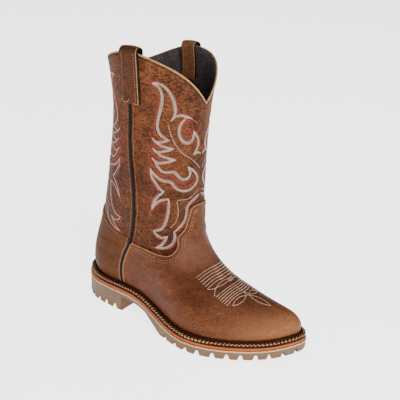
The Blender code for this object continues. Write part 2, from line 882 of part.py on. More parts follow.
def strap_path(foot_angle, top_angle, depth):
    """The strap's line at one column, a depth off the leather: up outside, over in an open loop, down inside.

    The loop opens inwards, so its outer leg stays flat on the shaft.
    """
    foot = shaft_row(foot_angle, STRAP_FOOT)
    rows = [foot] + [row for row in ROWS if row > foot + 0.02]

    def skin_at(row, out):
        share = (row - foot) / (2.0 - foot)
        return upper_skin(foot_angle + (top_angle - foot_angle) * share, row, out)

    path = [skin_at(row, GAP + depth) for row in rows]
    top = skin_at(2.0, -LEATHER / 2 - LOOP_FLARE)
    out = skin_at(2.0, 1.0) - skin_at(2.0, 0.0)
    radius = LEATHER / 2 + GAP + depth + LOOP_FLARE
    for turn in np.radians(np.linspace(0, 180, ARC_STEPS + 1)):
        lift = np.array([0.0, 0.0, STRAP_RISE + radius * math.sin(turn)])
        path.append(top + out * radius * math.cos(turn) + lift)
    inside = rows[::-1][:STRAP_INSIDE_ROWS]
    for row in inside:
        flare = 2 * LOOP_FLARE * ease(row, FLARE_START, 2.0)
        path.append(skin_at(row, -LEATHER - GAP - depth - flare))
    return path


def pull_strap(name, side):
    shape = bmesh.new()
    layers = []
    columns = [(low, high) for strap_side, low, high in STRAP_COLUMNS if strap_side == side]
    for depth in (0.0, STRAP_LEATHER):
        paths = [strap_path(strap_angle(side, low), strap_angle(side, high), depth) for low, high in columns]
        count = min(len(path) for path in paths)
        layers.append([[shape.verts.new(world(*spot)) for spot in path[-count:]] for path in paths])
    for paths in layers:
        for first, second in zip(paths, paths[1:]):
            bridge(shape, first, second, closed=False)
    near, far = layers
    bridge(shape, near[0], far[0], closed=False)
    bridge(shape, near[-1], far[-1], closed=False)
    for end in (0, -1):
        bridge(shape, [path[end] for path in near], [path[end] for path in far], closed=False)
    return add_object(name, finished(shape, name), "strap leather")


def main():
    clear_scene()
    outsole()
    midsole()
    welt()
    insole()
    upper()
    vamp()
    counter()
    for name, side in (("outer", -1), ("inner", 1)):
        piping("piping_" + name, side)
        pull_strap("pull_strap_" + name, side)


main()
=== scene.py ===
# %% [markdown]
# # A pull-on work boot
#
# The boot comes as eleven plain solids that already stand in the right place. This lesson dresses
# them: smooth leather with soft creases, panels with raw edges, rows of sewn thread and a rubber
# sole. Everything is in metres, the toe points along +X, and the outer side is at -Y.

# %% Load the solids
import math

import bmesh
import bpy
import numpy as np
from mathutils import Matrix, Vector
from mathutils.bvhtree import BVHTree


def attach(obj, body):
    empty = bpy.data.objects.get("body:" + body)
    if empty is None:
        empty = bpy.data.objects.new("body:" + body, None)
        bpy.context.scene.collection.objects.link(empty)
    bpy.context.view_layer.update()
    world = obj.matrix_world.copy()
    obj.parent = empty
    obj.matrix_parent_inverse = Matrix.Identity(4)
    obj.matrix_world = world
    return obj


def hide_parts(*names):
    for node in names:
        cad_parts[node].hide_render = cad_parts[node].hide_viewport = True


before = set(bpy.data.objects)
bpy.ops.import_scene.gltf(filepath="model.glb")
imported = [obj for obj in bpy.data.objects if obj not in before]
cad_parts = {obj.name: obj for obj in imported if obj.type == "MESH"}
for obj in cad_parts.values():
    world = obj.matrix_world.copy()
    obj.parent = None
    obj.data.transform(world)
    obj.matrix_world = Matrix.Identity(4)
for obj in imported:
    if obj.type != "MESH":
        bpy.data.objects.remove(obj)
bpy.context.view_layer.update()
MM = 0.001
SOLE_LENGTH = 296.0
SIDE_MIDDLE = -5.63


# %% [markdown]
# A bootmaker measures from the back of the heel. So do these helpers: a station is a distance
# forward from the heel, a side is a distance from the heel's middle line, and both are in
# millimetres.

# %% The bootmaker's measures
def boot(station, side, height):
    """A point given by station, side and height in millimetres, in the scene's metres."""
    return Vector((station - SOLE_LENGTH / 2, side - SIDE_MIDDLE, height)) * MM


def ease(value, low, high):
    """0 below low, 1 above high, with a smooth step between them."""
    share = np.clip((value - low) / (high - low), 0.0, 1.0)
    return share * share * (3 - 2 * share)


def station_of(place):
    """A point's station in millimetres."""
    return place.x / MM + SOLE_LENGTH / 2


def side_of(place):
    """A point's side in millimetres."""
    return place.y / MM + SIDE_MIDDLE


def in_scene(name, data):
    """A new object in the scene, at the origin."""
    made = bpy.data.objects.new(name, data)
    bpy.context.scene.collection.objects.link(made)
    return made


TINY = 1e-6


def smooth_path(points, step, closed=False):
    """Points about one step apart on a smooth curve through the given ones."""
    points = [np.asarray(point, float) for point in points]
    if closed:
        knots = [points[-1], *points, points[0], points[1]]
    else:
        knots = [2 * points[0] - points[1], *points, 2 * points[-1] - points[-2]]
    found = []
    for p0, p1, p2, p3 in zip(knots, knots[1:], knots[2:], knots[3:]):
        t1 = max(np.linalg.norm(p1 - p0), TINY) ** 0.5
        t2 = t1 + max(np.linalg.norm(p2 - p1), TINY) ** 0.5
        t3 = t2 + max(np.linalg.norm(p3 - p2), TINY) ** 0.5
        count = max(1, round(np.linalg.norm(p2 - p1) / step))
        for t in np.linspace(t1, t2, count, endpoint=False):
            a1 = p0 + (p1 - p0) * t / t1
            a2 = p1 + (p2 - p1) * (t - t1) / (t2 - t1)
            a3 = p2 + (p3 - p2) * (t - t2) / (t3 - t2)
            b1 = a1 + (a2 - a1) * t / t2
            b2 = a2 + (a3 - a2) * (t - t1) / (t3 - t1)
            found.append(b1 + (b2 - b1) * (t - t1) / (t2 - t1))
    if not closed:
        found.append(points[-1])
    return found


print("back of the heel at", [round(v, 4) for v in boot(0.0, 0.0, 0.0)])

# %% [markdown]
# ## Camera
#
# The picture is square and was taken from the boot's outer side, somewhat ahead of it and a little
# above it, with a slight roll. The eye is 0.9 m from the middle of the boot, behind a 70 mm lens.

# %% The camera
AZIMUTH = math.radians(35.0)
ELEVATION = math.radians(21.6)
ROLL = math.radians(2.2)
DISTANCE = 900.0
FOCAL_PIXELS = 773.0
PICTURE = 400.0
AXIS_PIXEL = (173.5, 196.0)
SENSOR = 36.0
AIM = (120.0, 0.0, 150.0)

back = Vector(
    (
        math.sin(AZIMUTH) * math.cos(ELEVATION),
        -math.cos(AZIMUTH) * math.cos(ELEVATION),
        math.sin(ELEVATION),
    )
)
level = Vector((math.cos(AZIMUTH), math.sin(AZIMUTH), 0.0))
upright = back.cross(level)
right = level * math.cos(ROLL) + upright * math.sin(ROLL)
up = upright * math.cos(ROLL) - level * math.sin(ROLL)
eye = boot(*AIM) + back * DISTANCE * MM

camera_data = bpy.data.cameras.new("camera")
camera_data.lens = FOCAL_PIXELS / PICTURE * SENSOR
camera_data.sensor_width = SENSOR
camera_data.shift_x = (PICTURE / 2 - AXIS_PIXEL[0]) / PICTURE
camera_data.shift_y = (AXIS_PIXEL[1] - PICTURE / 2) / PICTURE
camera = in_scene("camera", camera_data)
turn = Matrix((right, up, back)).transposed().to_4x4()
camera.matrix_world = Matrix.Translation(eye) @ turn
bpy.context.scene.camera = camera


def sight(pixel_x, pixel_y):
    """The direction from the eye through a point of the picture."""
    across = (pixel_x - AXIS_PIXEL[0]) / FOCAL_PIXELS
    down = (pixel_y - AXIS_PIXEL[1]) / FOCAL_PIXELS
    return (right * across - up * down - back).normalized()


print("eye", [round(v, 3) for v in eye], "lens", round(camera_data.lens, 2))

# %% [markdown]
# ## Shader maths
#
# A finish is built from nodes, and most of its maths is short sums on masks. One small class wraps
# a socket so that Python's operators add the Math nodes, and one method makes any other node.


# %% A wrapped socket and a finish
# A Mix node has several sockets of each name, so its colour ones go by number.
MIX_SHARE = 0
MIX_FIRST = 6
MIX_SECOND = 7
MIX_COLOUR = 2


class Wire:
    """A socket of a finish, which the operators turn into Math nodes."""

    def __init__(self, finish, socket):
        self.finish = finish
        self.socket = socket

    def maths(self, operation, *values):
        """A Math node on these values."""
        return self.finish.node("ShaderNodeMath", {"operation": operation}, dict(enumerate(values)))

    def __add__(self, other):
        return self.maths("ADD", self, other)

    def __sub__(self, other):
        return self.maths("SUBTRACT", self, other)

    def __rsub__(self, other):
        return self.maths("SUBTRACT", other, self)

    def __mul__(self, other):
        return self.maths("MULTIPLY", self, other)

    def __pow__(self, other):
        return self.maths("POWER", self, other)

    __radd__ = __add__
    __rmul__ = __mul__

    def step(self, low, high):
        """0 up to low and 1 from high on, smoothly."""
        settings = {"interpolation_type": "SMOOTHSTEP"}
        values = {"Value": self, "From Min": low, "From Max": high}
        return self.finish.node("ShaderNodeMapRange", settings, values)


class Finish:
    """A material made of nodes on one Principled shader."""

    def __init__(self, name, **fixed):
        self.material = bpy.data.materials.new(name)
        self.material.use_nodes = True
        self.tree = self.material.node_tree
        self.shader = self.tree.nodes["Principled BSDF"]
        for socket, value in fixed.items():
            self.shader.inputs[socket.replace("_", " ")].default_value = value

    def node(self, kind, settings=None, values=None, output=0):
        """A new node with its settings, then its sockets' values or links."""
        made = self.tree.nodes.new(kind)
        for key, value in (settings or {}).items():
            setattr(made, key, value)
        for key, value in (values or {}).items():
            self.plug(made.inputs[key], value)
        return Wire(self, made.outputs[output])

    def plug(self, socket, value):
        """Links a wire to a socket, or sets the socket's value."""
        if isinstance(value, Wire):
            self.tree.links.new(value.socket, socket)
        elif isinstance(value, tuple) and len(value) == 3 and socket.type == "RGBA":
            socket.default_value = (*value, 1.0)
        else:
            socket.default_value = value

    def where(self, stretch=(1.0, 1.0, 1.0), turn=(0.0, 0.0, 0.0)):
        """The piece's own coordinates, stretched or turned for a pattern."""
        place = self.node("ShaderNodeTexCoord", output="Object")
        values = {"Vector": place, "Scale": stretch, "Rotation": turn}
        return self.node("ShaderNodeMapping", None, values)

    def axis(self, name):
        """One of the piece's own coordinates, in metres."""
        place = self.node("ShaderNodeTexCoord", output="Object")
        return self.node("ShaderNodeSeparateXYZ", None, {"Vector": place}, output=name)

    def noise(self, where, scale, detail, roughness, distortion=0.0):
        """Soft noise whose scale is in blots to a metre."""
        values = {
            "Vector": where,
            "Scale": scale,
            "Detail": detail,
            "Roughness": roughness,
            "Distortion": distortion,
        }
        return self.node("ShaderNodeTexNoise", None, values)

    def cells(self, where, scale):
        """Distances from the middles of cells whose scale is in cells to a metre."""
        return self.node("ShaderNodeTexVoronoi", None, {"Vector": where, "Scale": scale})

    def mix(self, share, first, second):
        """Two colours mixed by a share."""
        values = {MIX_SHARE: share, MIX_FIRST: first, MIX_SECOND: second}
        return self.node("ShaderNodeMix", {"data_type": "RGBA"}, values, MIX_COLOUR)

    def bump(self, height, distance, strength):
        """A normal that a relief tilts, with the relief's depth in metres."""
        values = {"Height": height, "Distance": distance, "Strength": strength}
        return self.node("ShaderNodeBump", None, values)

    def set(self, **sockets):
        """The material, once these sockets of its shader are linked or set."""
        for socket, value in sockets.items():
            self.plug(self.shader.inputs[socket.replace("_", " ")], value)
        return self.material


print("shader helpers ready")

# %% [markdown]
# ## Leather
#
# Oiled leather shows several things at once: broad clouds where the oil has moved, patches and a fine
# mottle, short streaks along the grain, thin pale wrinkles where the hide has been pulled, and a
# pebble that only gloss shows. All but the pebble go to the colour, the clouds and the mottle to the
# roughness, and the finer ones to the bump. A wrinkle is the line along which a soft noise passes its
# middle value. Two leathers also carry painted light: the shaft gets painted shade that darkens it
# towards its foot, and the vamp a painted highlight round the toe and a painted sheen on the instep.

# %% Leather finishes
# scale, detail, roughness, distortion
CLOUDS = (26.0, 3.0, 0.55, 0.4)
PATCHES = (120.0, 3.0, 0.6, 0.3)
MOTTLE = (520.0, 3.0, 0.65)
STREAKS = (190.0, 4.0, 0.62, 1.3)
FOLDS = (70.0, 4.0, 0.6, 0.8)
EDGE_FIBRES = (700.0, 3.0, 0.7)
PEBBLES = 700.0
# depth in metres, strength
LEATHER_RELIEF = (0.0006, 0.5)
EDGE_RELIEF = (0.0003, 0.6)
# stretch, turn
STREAK_LIE = ((1.0, 1.0, 3.2), (0.3, 0.45, 0.0))
FOLD_LIE = ((1.0, 1.0, 2.4), (0.2, 0.5, 0.0))
FOLD_LINE = (0.00001, 0.0005)
MIDDLE_TONE = 0.54
# where a mask starts and where it is full, in metres
# the shaft's painted shade, then the toe's painted highlight and the instep's painted sheen
SHAFT_SHADE_RISE = (0.100, 0.270)
TOE_FRONT = (0.050, 0.130)
TOE_TOP = (0.040, 0.062)
INSTEP_REAR = (-0.020, 0.008)
INSTEP_FRONT = (0.035, 0.065)
INSTEP_FOOT = (0.070, 0.098)
INSTEP_TOP = (0.100, 0.122)
# colour of the painted sheen on the instep
INSTEP_SHEEN = (0.300, 0.140, 0.095)


def leather(
    name, deep, middle, pale, wrinkles=0.4, shine=0.52, gloss=0.07, toe_highlight=0.0, painted_low_shade=0.0, contrast=1.0
):
    """Oiled leather from three colours.

    The toe setting adds a painted highlight round the toe and a painted sheen on the instep, the shade
    setting darkens a shaft towards its foot as painted shade, and contrast sets how far the pattern
    leaves its middle tone.
    """
    finish = Finish(name, Specular_IOR_Level=gloss)
    here = finish.where()
    clouds = finish.noise(here, *CLOUDS)
    patches = finish.noise(here, *PATCHES)
    mottle = finish.noise(here, *MOTTLE)
    streaks = finish.noise(finish.where(*STREAK_LIE), *STREAKS)
    broad = clouds.step(0.32, 0.68) * 0.22 + patches.step(0.36, 0.64) * 0.20
    tone = broad + mottle.step(0.42, 0.58) * 0.30 + streaks.step(0.44, 0.56) * 0.36
    colour = finish.mix((tone - MIDDLE_TONE) * contrast + MIDDLE_TONE, deep, middle)
    # painted shade, darker towards the shaft's foot
    if painted_low_shade:
        low = 1 - finish.axis("Z").step(*SHAFT_SHADE_RISE)
        colour = finish.mix(low * painted_low_shade, colour, deep)
    hide = finish.noise(finish.where(*FOLD_LIE), *FOLDS)
    fold = 1 - ((hide - 0.5) ** 2.0).step(*FOLD_LINE)
    pulled_and_highlight = fold * clouds.step(0.40, 0.62) * wrinkles
    # painted highlight round the toe front, and a painted sheen on the instep
    if toe_highlight:
        along = finish.axis("X")
        height = finish.axis("Z")
        toe_highlight_mask = along.step(*TOE_FRONT) * (1 - height.step(*TOE_TOP))
        pulled_and_highlight = pulled_and_highlight + toe_highlight_mask * toe_highlight * (0.7 + 0.5 * mottle)
        instep = along.step(*INSTEP_REAR) * (1 - along.step(*INSTEP_FRONT))
        instep = instep * height.step(*INSTEP_FOOT) * (1 - height.step(*INSTEP_TOP))
        colour = finish.mix(instep * (0.06 + 0.28 * clouds), colour, INSTEP_SHEEN)
    # pale pulled wrinkles, and on the vamp also the painted toe highlight
    colour = finish.mix(pulled_and_highlight, colour, pale)
    pebble = finish.cells(here, PEBBLES)
    rough = shine + 0.12 * mottle + 0.10 * clouds.step(0.35, 0.75)
    relief = pebble * 0.4 + mottle * 0.7 + streaks * 0.7 + fold * wrinkles * 0.6
    return finish.set(Base_Color=colour, Roughness=rough, Normal=finish.bump(relief, *LEATHER_RELIEF))


def raw_edge(name, deep, pale):
    """A cut edge of leather, pale and fibrous."""
    finish = Finish(name, Roughness=0.72)
    fibres = finish.noise(finish.where(), *EDGE_FIBRES)
    colour = finish.mix(fibres.step(0.3, 0.7), deep, pale)
    return finish.set(Base_Color=colour, Normal=finish.bump(fibres, *EDGE_RELIEF))


# %% The boot's leathers
# the shaft, with painted shade towards its foot
SHAFT_LEATHER = leather(
    "shaft_leather",
    (0.016, 0.004, 0.0015),
    (0.118, 0.036, 0.012),
    (0.210, 0.080, 0.032),
    wrinkles=0.5,
    painted_low_shade=0.44,
    contrast=1.6,
)
# the vamp, with a painted highlight round the toe and a painted sheen on the instep
VAMP_LEATHER = leather(
    "vamp_leather",
    (0.024, 0.006, 0.002),
    (0.120, 0.034, 0.011),
    (0.250, 0.098, 0.036),
    wrinkles=0.3,
    shine=0.46,
    gloss=0.11,
    toe_highlight=0.55,
    contrast=0.75,
)
COUNTER_LEATHER = leather(
    "counter_leather", (0.036, 0.010, 0.002), (0.092, 0.030, 0.007), (0.150, 0.055, 0.015), wrinkles=0.2
)
STRAP_LEATHER = leather(
    "strap_leather", (0.016, 0.005, 0.002), (0.074, 0.025, 0.010), (0.140, 0.052, 0.020), wrinkles=0.3
)
# the strap's inner leg, painted paler as painted light where it lies in shade
STRAP_INSIDE_PAINTED_LIGHT = leather(
    "strap_inside_painted_light", (0.055, 0.020, 0.009), (0.205, 0.080, 0.038), (0.290, 0.125, 0.060), wrinkles=0.3
)
# the welt, its own dark leather darkened further as painted shade
WELT_LEATHER_AND_SHADE = leather(
    "welt_leather",
    (0.010, 0.002, 0.001),
    (0.034, 0.006, 0.0035),
    (0.060, 0.012, 0.006),
    wrinkles=0.2,
    shine=0.56,
    gloss=0.04,
)
LINING = leather(
    "lining", (0.022, 0.018, 0.018), (0.078, 0.063, 0.060), (0.125, 0.108, 0.102), wrinkles=0.3, shine=0.55
)
PIPING_LEATHER = leather(
    "piping_leather",
    (0.002, 0.002, 0.002),
    (0.006, 0.005, 0.005),
    (0.016, 0.013, 0.012),
    wrinkles=0.3,
    shine=0.50,
    gloss=0.09,
)
INSOLE_LEATHER = leather(
    "insole_leather", (0.09, 0.055, 0.030), (0.16, 0.10, 0.055), (0.22, 0.145, 0.085), wrinkles=0.3
)
TAN_EDGE = raw_edge("tan_edge", (0.200, 0.088, 0.026), (0.430, 0.220, 0.075))
GOLDEN_EDGE = raw_edge("golden_edge", (0.130, 0.052, 0.013), (0.330, 0.155, 0.044))
print("leathers", len(bpy.data.materials))

# %% [markdown]
# ## Rubber
#
# The sole is one taupe rubber unit with a pale lip, and an orange sheet lies on it. Rubber is matt
# with a faint cloud and a fine sparkle of dust. Its lugs are browner near the ground, and the flanks
# of the notches between them are painted darker, as painted shade.


# %% Sole finishes
# scale, detail, roughness
RUBBER_CLOUDS = (60.0, 4.0, 0.6)
RUBBER_DUST = (700.0, 2.0, 0.6)
DUST_STRETCH = (1.0, 1.0, 4.0)
# depth in metres, strength
RUBBER_RELIEF = (0.0003, 0.5)
# where the ground's colour is full and where it ends, in metres
GROUND_FADE = (0.001, 0.014)
GROUND_SHARE = 0.75


def rubber(name, deep, pale, ground=None):
    """Matt moulded rubber, browner near the ground where a ground colour is given."""
    finish = Finish(name, Specular_IOR_Level=0.3)
    clouds = finish.noise(finish.where(), *RUBBER_CLOUDS)
    dust = finish.noise(finish.where(DUST_STRETCH), *RUBBER_DUST)
    colour = finish.mix(clouds.step(0.3, 0.7) * 0.6 + dust * 0.4, deep, pale)
    if ground:
        low = 1 - finish.axis("Z").step(*GROUND_FADE)
        colour = finish.mix(low * GROUND_SHARE, colour, ground)
    rough = 0.62 + 0.2 * dust
    normal = finish.bump(dust + clouds * 0.5, *RUBBER_RELIEF)
    return finish.set(Base_Color=colour, Roughness=rough, Normal=normal)


OUTSOLE_RUBBER = rubber(
    "outsole_rubber", (0.084, 0.048, 0.026), (0.130, 0.077, 0.042), ground=(0.115, 0.051, 0.019)
)
# the same rubber painted darker, as painted shade in the notches
FLANK_SHADE_RUBBER = rubber("flank_shade_rubber", (0.045, 0.018, 0.005), (0.085, 0.036, 0.010))
LIP_RUBBER = rubber("lip_rubber", (0.340, 0.205, 0.110), (0.450, 0.285, 0.165))
MIDSOLE_RUBBER = rubber("midsole_rubber", (0.260, 0.050, 0.003), (0.360, 0.075, 0.005))
print("sole finishes made")

# %% [markdown]
# ## Pieces
#
# A solid arrives as loose triangles. A piece starts from a copy whose points are merged and whose
# triangles are joined in pairs again, because subdivision makes a much smoother surface from quads.

# %% Copies of the solids
MERGE = 0.02
FLAT_TURN = 40
SQUARE_TURN = 70
CRISP_TURN = math.radians(35)
CRISP = 0.9
SHARP = math.radians(40)


def merged(node):
    """A bmesh of a solid whose triangles share their points."""
    shape = bmesh.new()
    shape.from_mesh(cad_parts[node].data)
    bmesh.ops.remove_doubles(shape, verts=shape.verts, dist=MERGE * MM)
    return shape


def join_quads(shape, flat=FLAT_TURN):
    """Joins pairs of triangles that lie within so many degrees of each other."""
    bmesh.ops.join_triangles(
        shape,
        faces=shape.faces,
        angle_face_threshold=math.radians(flat),
        angle_shape_threshold=math.radians(SQUARE_TURN),
    )


def finish_faces(mesh, materials):
    """Fills the mesh's material slots, and keeps each face's slot number."""
    for i, material in enumerate(materials):
        if i < len(mesh.materials):
            mesh.materials[i] = material
        else:
            mesh.materials.append(material)


def add_piece(name, mesh, materials, nodes=()):
    """The mesh as a piece that rides on the boot and stands for these solids."""
    piece = in_scene(name, mesh)
    finish_faces(mesh, materials)
    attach(piece, "root")
    if nodes:
        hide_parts(*nodes)
    return piece


def mesh_of(shape, name):
    """A smooth mesh of a bmesh, which is then freed."""
    mesh = bpy.data.meshes.new(name)
    shape.to_mesh(mesh)
    shape.free()
    mesh.shade_smooth()
    return mesh


def evaluated(data, *modifiers):
    """A new mesh of a mesh or curve after these modifiers, each a type and its settings."""
    helper = in_scene("helper", data)
    for kind, settings in modifiers:
        modifier = helper.modifiers.new(kind, kind)
        for key, value in settings.items():
            setattr(modifier, key, value)
    graph = bpy.context.evaluated_depsgraph_get()
    made = bpy.data.meshes.new_from_object(helper.evaluated_get(graph))
    bpy.data.objects.remove(helper)
    return made


def subdivided(shape, name):
    """A mesh of a bmesh after two rounds of subdivision."""
    return evaluated(mesh_of(shape, name), ("SUBSURF", {"levels": 2, "render_levels": 2}))


def crease_corners(shape):
    """Keeps the sharp edges of a shape crisp under subdivision."""
    crease = shape.edges.layers.float.get("crease_edge") or shape.edges.layers.float.new("crease_edge")
    for edge in shape.edges:
        if edge.calc_face_angle(0.0) > CRISP_TURN:
            edge[crease] = CRISP


print("piece helpers ready")

# %% [markdown]
# ## The upper's outer face
#
# The upper is a wall. Its outer face is found by walking from the toe over every edge that isn't a
# sharp corner, so the walk stops at the collar and at the feather line. That one face is then
# subdivided, and its thickness comes back at the end.

# %% The outer face, subdivided
CORNER_TURN = math.radians(65)
COLLAR_FROM = 0.2


def outer_face(shape):
    """The faces reached from the toe without turning a sharp corner."""
    start = max(shape.faces, key=lambda face: face.calc_center_median().x)
    found = {start}
    queue = [start]
    while queue:
        face = queue.pop()
        for edge in face.edges:
            if edge.calc_face_angle(0.0) > CORNER_TURN:
                continue
            for other in edge.link_faces:
                if other not in found:
                    found.add(other)
                    queue.append(other)
    return found


shape = merged("upper")
kept = outer_face(shape)
bmesh.ops.delete(shape, geom=[face for face in shape.faces if face not in kept], context="FACES")
join_quads(shape)
notch_crease = shape.verts.layers.float.new("crease_vert")
rim = [vert for vert in shape.verts if vert.is_boundary and vert.co.z > COLLAR_FROM]
notch = min(rim, key=lambda vert: vert.co.z)
notch[notch_crease] = 1.0
print("outer face", len(shape.faces), "faces, notch at", [round(v, 4) for v in notch.co])
skin = subdivided(shape, "skin")
print("skin", len(skin.polygons), "faces")

# %% [markdown]
# ## Creases
#
# Leather that has been worn folds in soft troughs, and each trough has a low ridge beside it. The
# folds were drawn where the picture shows them, as lines from the eye that stop at the leather. A
# point of the skin then moves in by a bell curve of its distance from such a line, or out where the
# depth is negative, which makes a bulge.


# %% Drawing on the skin from the eye
def tree_of(*meshes):
    """One search tree of some meshes, for rays and nearest points."""
    points = []
    faces = []
    for mesh in meshes:
        first = len(points)
        points += [vert.co.copy() for vert in mesh.vertices]
        faces += [[first + i for i in face.vertices] for face in mesh.polygons]
    return BVHTree.FromPolygons(points, faces)


def seen(tree, pixels):
    """Points of a surface under a line of picture points."""
    places = [tree.ray_cast(eye, sight(*pixel))[0] for pixel in pixels]
    return [place for place in places if place is not None]


CREASES = (
    # name, depth and half width in millimetres, picture points
    ("toe side wrinkle", 1.8, 2.6, ((207, 331.5), (218, 332.6), (229, 334.6))),
    ("toe side wrinkle above", 0.9, 2.8, ((212, 327.5), (222, 329.0), (233, 331.5))),
    ("ankle fold by the seam", 0.8, 4.5, ((138, 214), (147, 222), (158, 231))),
    ("ankle fold at the front", 0.9, 5.0, ((172, 222), (186, 232), (197, 236))),
    ("instep hollow", 1.0, 7.0, ((176, 268), (188, 272), (203, 266))),
    ("flex fold", 0.8, 6.0, ((168, 290), (186, 292), (200, 300))),
    ("heel fold", 0.6, 5.0, ((101, 246), (110, 252), (121, 255))),
    ("shaft fold", 0.7, 6.0, ((136, 150), (150, 156), (164, 156))),
    ("ankle bulge at the front", -1.1, 5.0, ((192, 222), (199, 225.5), (204, 226))),
    ("bulge above it", -0.8, 5.0, ((194, 199), (200, 200), (204, 199))),
)
CREASE_STEP = 3.0
RIDGE_SHARE = 0.35
RIDGE_PLACE = 2.0


def distance_to(points, path):
    """Each point's distance to a line of points."""
    nearest = np.full(len(points), np.inf)
    for a, b in zip(path, path[1:]):
        along = b - a
        share = np.clip((points - a) @ along / max(along @ along, TINY**2), 0, 1)
        nearest = np.minimum(nearest, np.linalg.norm(points - a - share[:, None] * along, axis=1))
    return nearest


def crease(mesh):
    """Moves a mesh's points in along the creases."""
    points = np.array([vert.co[:] for vert in mesh.vertices])
    normals = np.array([vert.normal[:] for vert in mesh.vertices])
    tree = tree_of(mesh)
    move = np.zeros(len(points))
    for _, depth, half_width, pixels in CREASES:
        path = [np.array(place) for place in seen(tree, smooth_path(pixels, CREASE_STEP))]
        far = distance_to(points, path) / (half_width * MM)
        move += depth * MM * (RIDGE_SHARE * np.exp(-((far - RIDGE_PLACE) ** 2)) - np.exp(-(far**2)))
    moved = points + normals * move[:, None]
    mesh.vertices.foreach_set("co", moved.ravel())
    mesh.update()


crease(skin)
skin_tree = tree_of(skin)
print("creases", len(CREASES))

# %% [markdown]
# ## The upper
#
# The skin gets its wall from Solidify. Its inner face and its rim take the lining's finish, because
# the lining is turned over the top of the wall. The pale cut edge outside it comes later, as a bead.

# %% The upper with its wall
LEATHER = 2.4
wall = {
    "thickness": LEATHER * MM,
    "offset": -1.0,
    "use_even_offset": False,
    "material_offset": 1,
    "material_offset_rim": 1,
}
upper_finishes = (SHAFT_LEATHER, LINING)
walled = skin.copy()
finish_faces(walled, upper_finishes)
upper_mesh = evaluated(walled, ("SOLIDIFY", wall))
upper = add_piece("upper_leather", upper_mesh, upper_finishes, ("upper",))
print("upper", len(upper_mesh.polygons), "faces")

# %% [markdown]
# ## Vamp and counter
#
# These panels lie on the upper, so they are cut from its own skin: the skin is thickened outwards
# and crossed with a prism whose outline is the panel's, seen from the side. The prism brings the
# raw edge's finish with it, so the cut shows as a pale line.

# %% Panels cut from the skin
VAMP_EDGE = (
    # station, height
    (78.0, 94.5),
    (92.0, 93.2),
    (108.0, 91.8),
    (130.0, 90.6),
    (142.5, 92.8),
    (146.8, 97.5),
    (147.0, 104.0),
    (145.5, 113.0),
    (148.3, 120.0),
    (150.6, 127.0),
    (151.8, 140.0),
    (152.6, 146.5),
    (154.6, 149.8),
    (158.0, 150.2),
    (175.0, 148.0),
)
COUNTER_EDGE = (
    # station, height
    (-10.0, 121.5),
    (14.0, 119.5),
    (27.0, 114.0),
    (38.0, 106.5),
    (54.0, 100.5),
    (70.0, 97.5),
    (92.0, 95.5),
)
SEAM = (
    # height, station on the outer side, station on the inner side
    (20.0, 74.0, 74.0),
    (45.0, 72.8, 72.8),
    (60.0, 73.2, 73.2),
    (76.0, 77.5, 77.5),
    (95.0, 85.5, 85.5),
    (116.0, 91.0, 92.5),
    (146.0, 95.0, 99.0),
    (173.0, 94.5, 101.0),
    (211.0, 91.5, 101.0),
    (265.0, 90.5, 101.0),
)
PANEL = 1.5
PANEL_SUNK = 0.4
PANEL_OFFSET = 0.66
PANEL_SHARP = math.radians(45)
FAR_SIDE = 150.0
vamp_edge = smooth_path(VAMP_EDGE, 1.0)
counter_edge = smooth_path(COUNTER_EDGE, 1.5)
seam_lines = {
    side: smooth_path([(row[column], row[0]) for row in SEAM], 2.0) for side, column in ((-1, 1), (1, 2))
}


def prism(outline):
    """A side outline pushed through the whole width of the boot."""
    block = bmesh.new()
    corners = [block.verts.new(boot(station, -FAR_SIDE, height)) for station, height in outline]
    face = block.faces.new(corners)
    made = bmesh.ops.extrude_face_region(block, geom=[face])
    moved = [part for part in made["geom"] if isinstance(part, bmesh.types.BMVert)]
    bmesh.ops.translate(block, verts=moved, vec=(0.0, 2 * FAR_SIDE * MM, 0.0))
    bmesh.ops.recalc_face_normals(block, faces=block.faces)
    mesh = mesh_of(block, "prism")
    mesh.materials.append(TAN_EDGE)
    return in_scene("prism", mesh)


def panel(node, outline, material, top):
    """A leather panel inside a side outline, from the skin below a height."""
    name = node + "_leather"
    sheet = bmesh.new()
    sheet.from_mesh(skin)
    high = [face for face in sheet.faces if face.calc_center_median().z > top * MM]
    bmesh.ops.delete(sheet, geom=high, context="FACES")
    base = mesh_of(sheet, name)
    base.materials.append(material)
    cutter = prism(outline)
    thick = {"thickness": (PANEL + PANEL_SUNK) * MM, "offset": PANEL_OFFSET, "use_even_offset": False}
    cut = {"object": cutter, "operation": "INTERSECT", "solver": "EXACT", "material_mode": "TRANSFER"}
    mesh = evaluated(base, ("SOLIDIFY", thick), ("BOOLEAN", cut))
    bpy.data.objects.remove(cutter)
    mesh.shade_smooth()
    mesh.set_sharp_from_angle(angle=PANEL_SHARP)
    print(name, len(mesh.polygons), "faces")
    return add_piece(name, mesh, (material, TAN_EDGE), (node,))


# %% Vamp and counter
SEAM_MARGIN = 2.6
CORNER_GAP = 0.5
VAMP_SEAM_TOP = 93.0
COUNTER_SEAM_TOP = 95.5
VAMP_TOP = 158.0
COUNTER_TOP = 128.0
PAST_TOE = 320.0
PAST_HEEL = -10.0
IN_WELT = 20.0

low_seam = [spot for spot in seam_lines[-1] if spot[1] < VAMP_SEAM_TOP]
vamp_start = low_seam[-1][0] + SEAM_MARGIN + CORNER_GAP
vamp_outline = [(station + SEAM_MARGIN, height) for station, height in low_seam]
vamp_outline += [tuple(spot) for spot in vamp_edge if spot[0] > vamp_start]
vamp_outline += [(PAST_TOE, VAMP_EDGE[-1][1]), (PAST_TOE, IN_WELT)]
vamp = panel("vamp", vamp_outline, VAMP_LEATHER, VAMP_TOP)

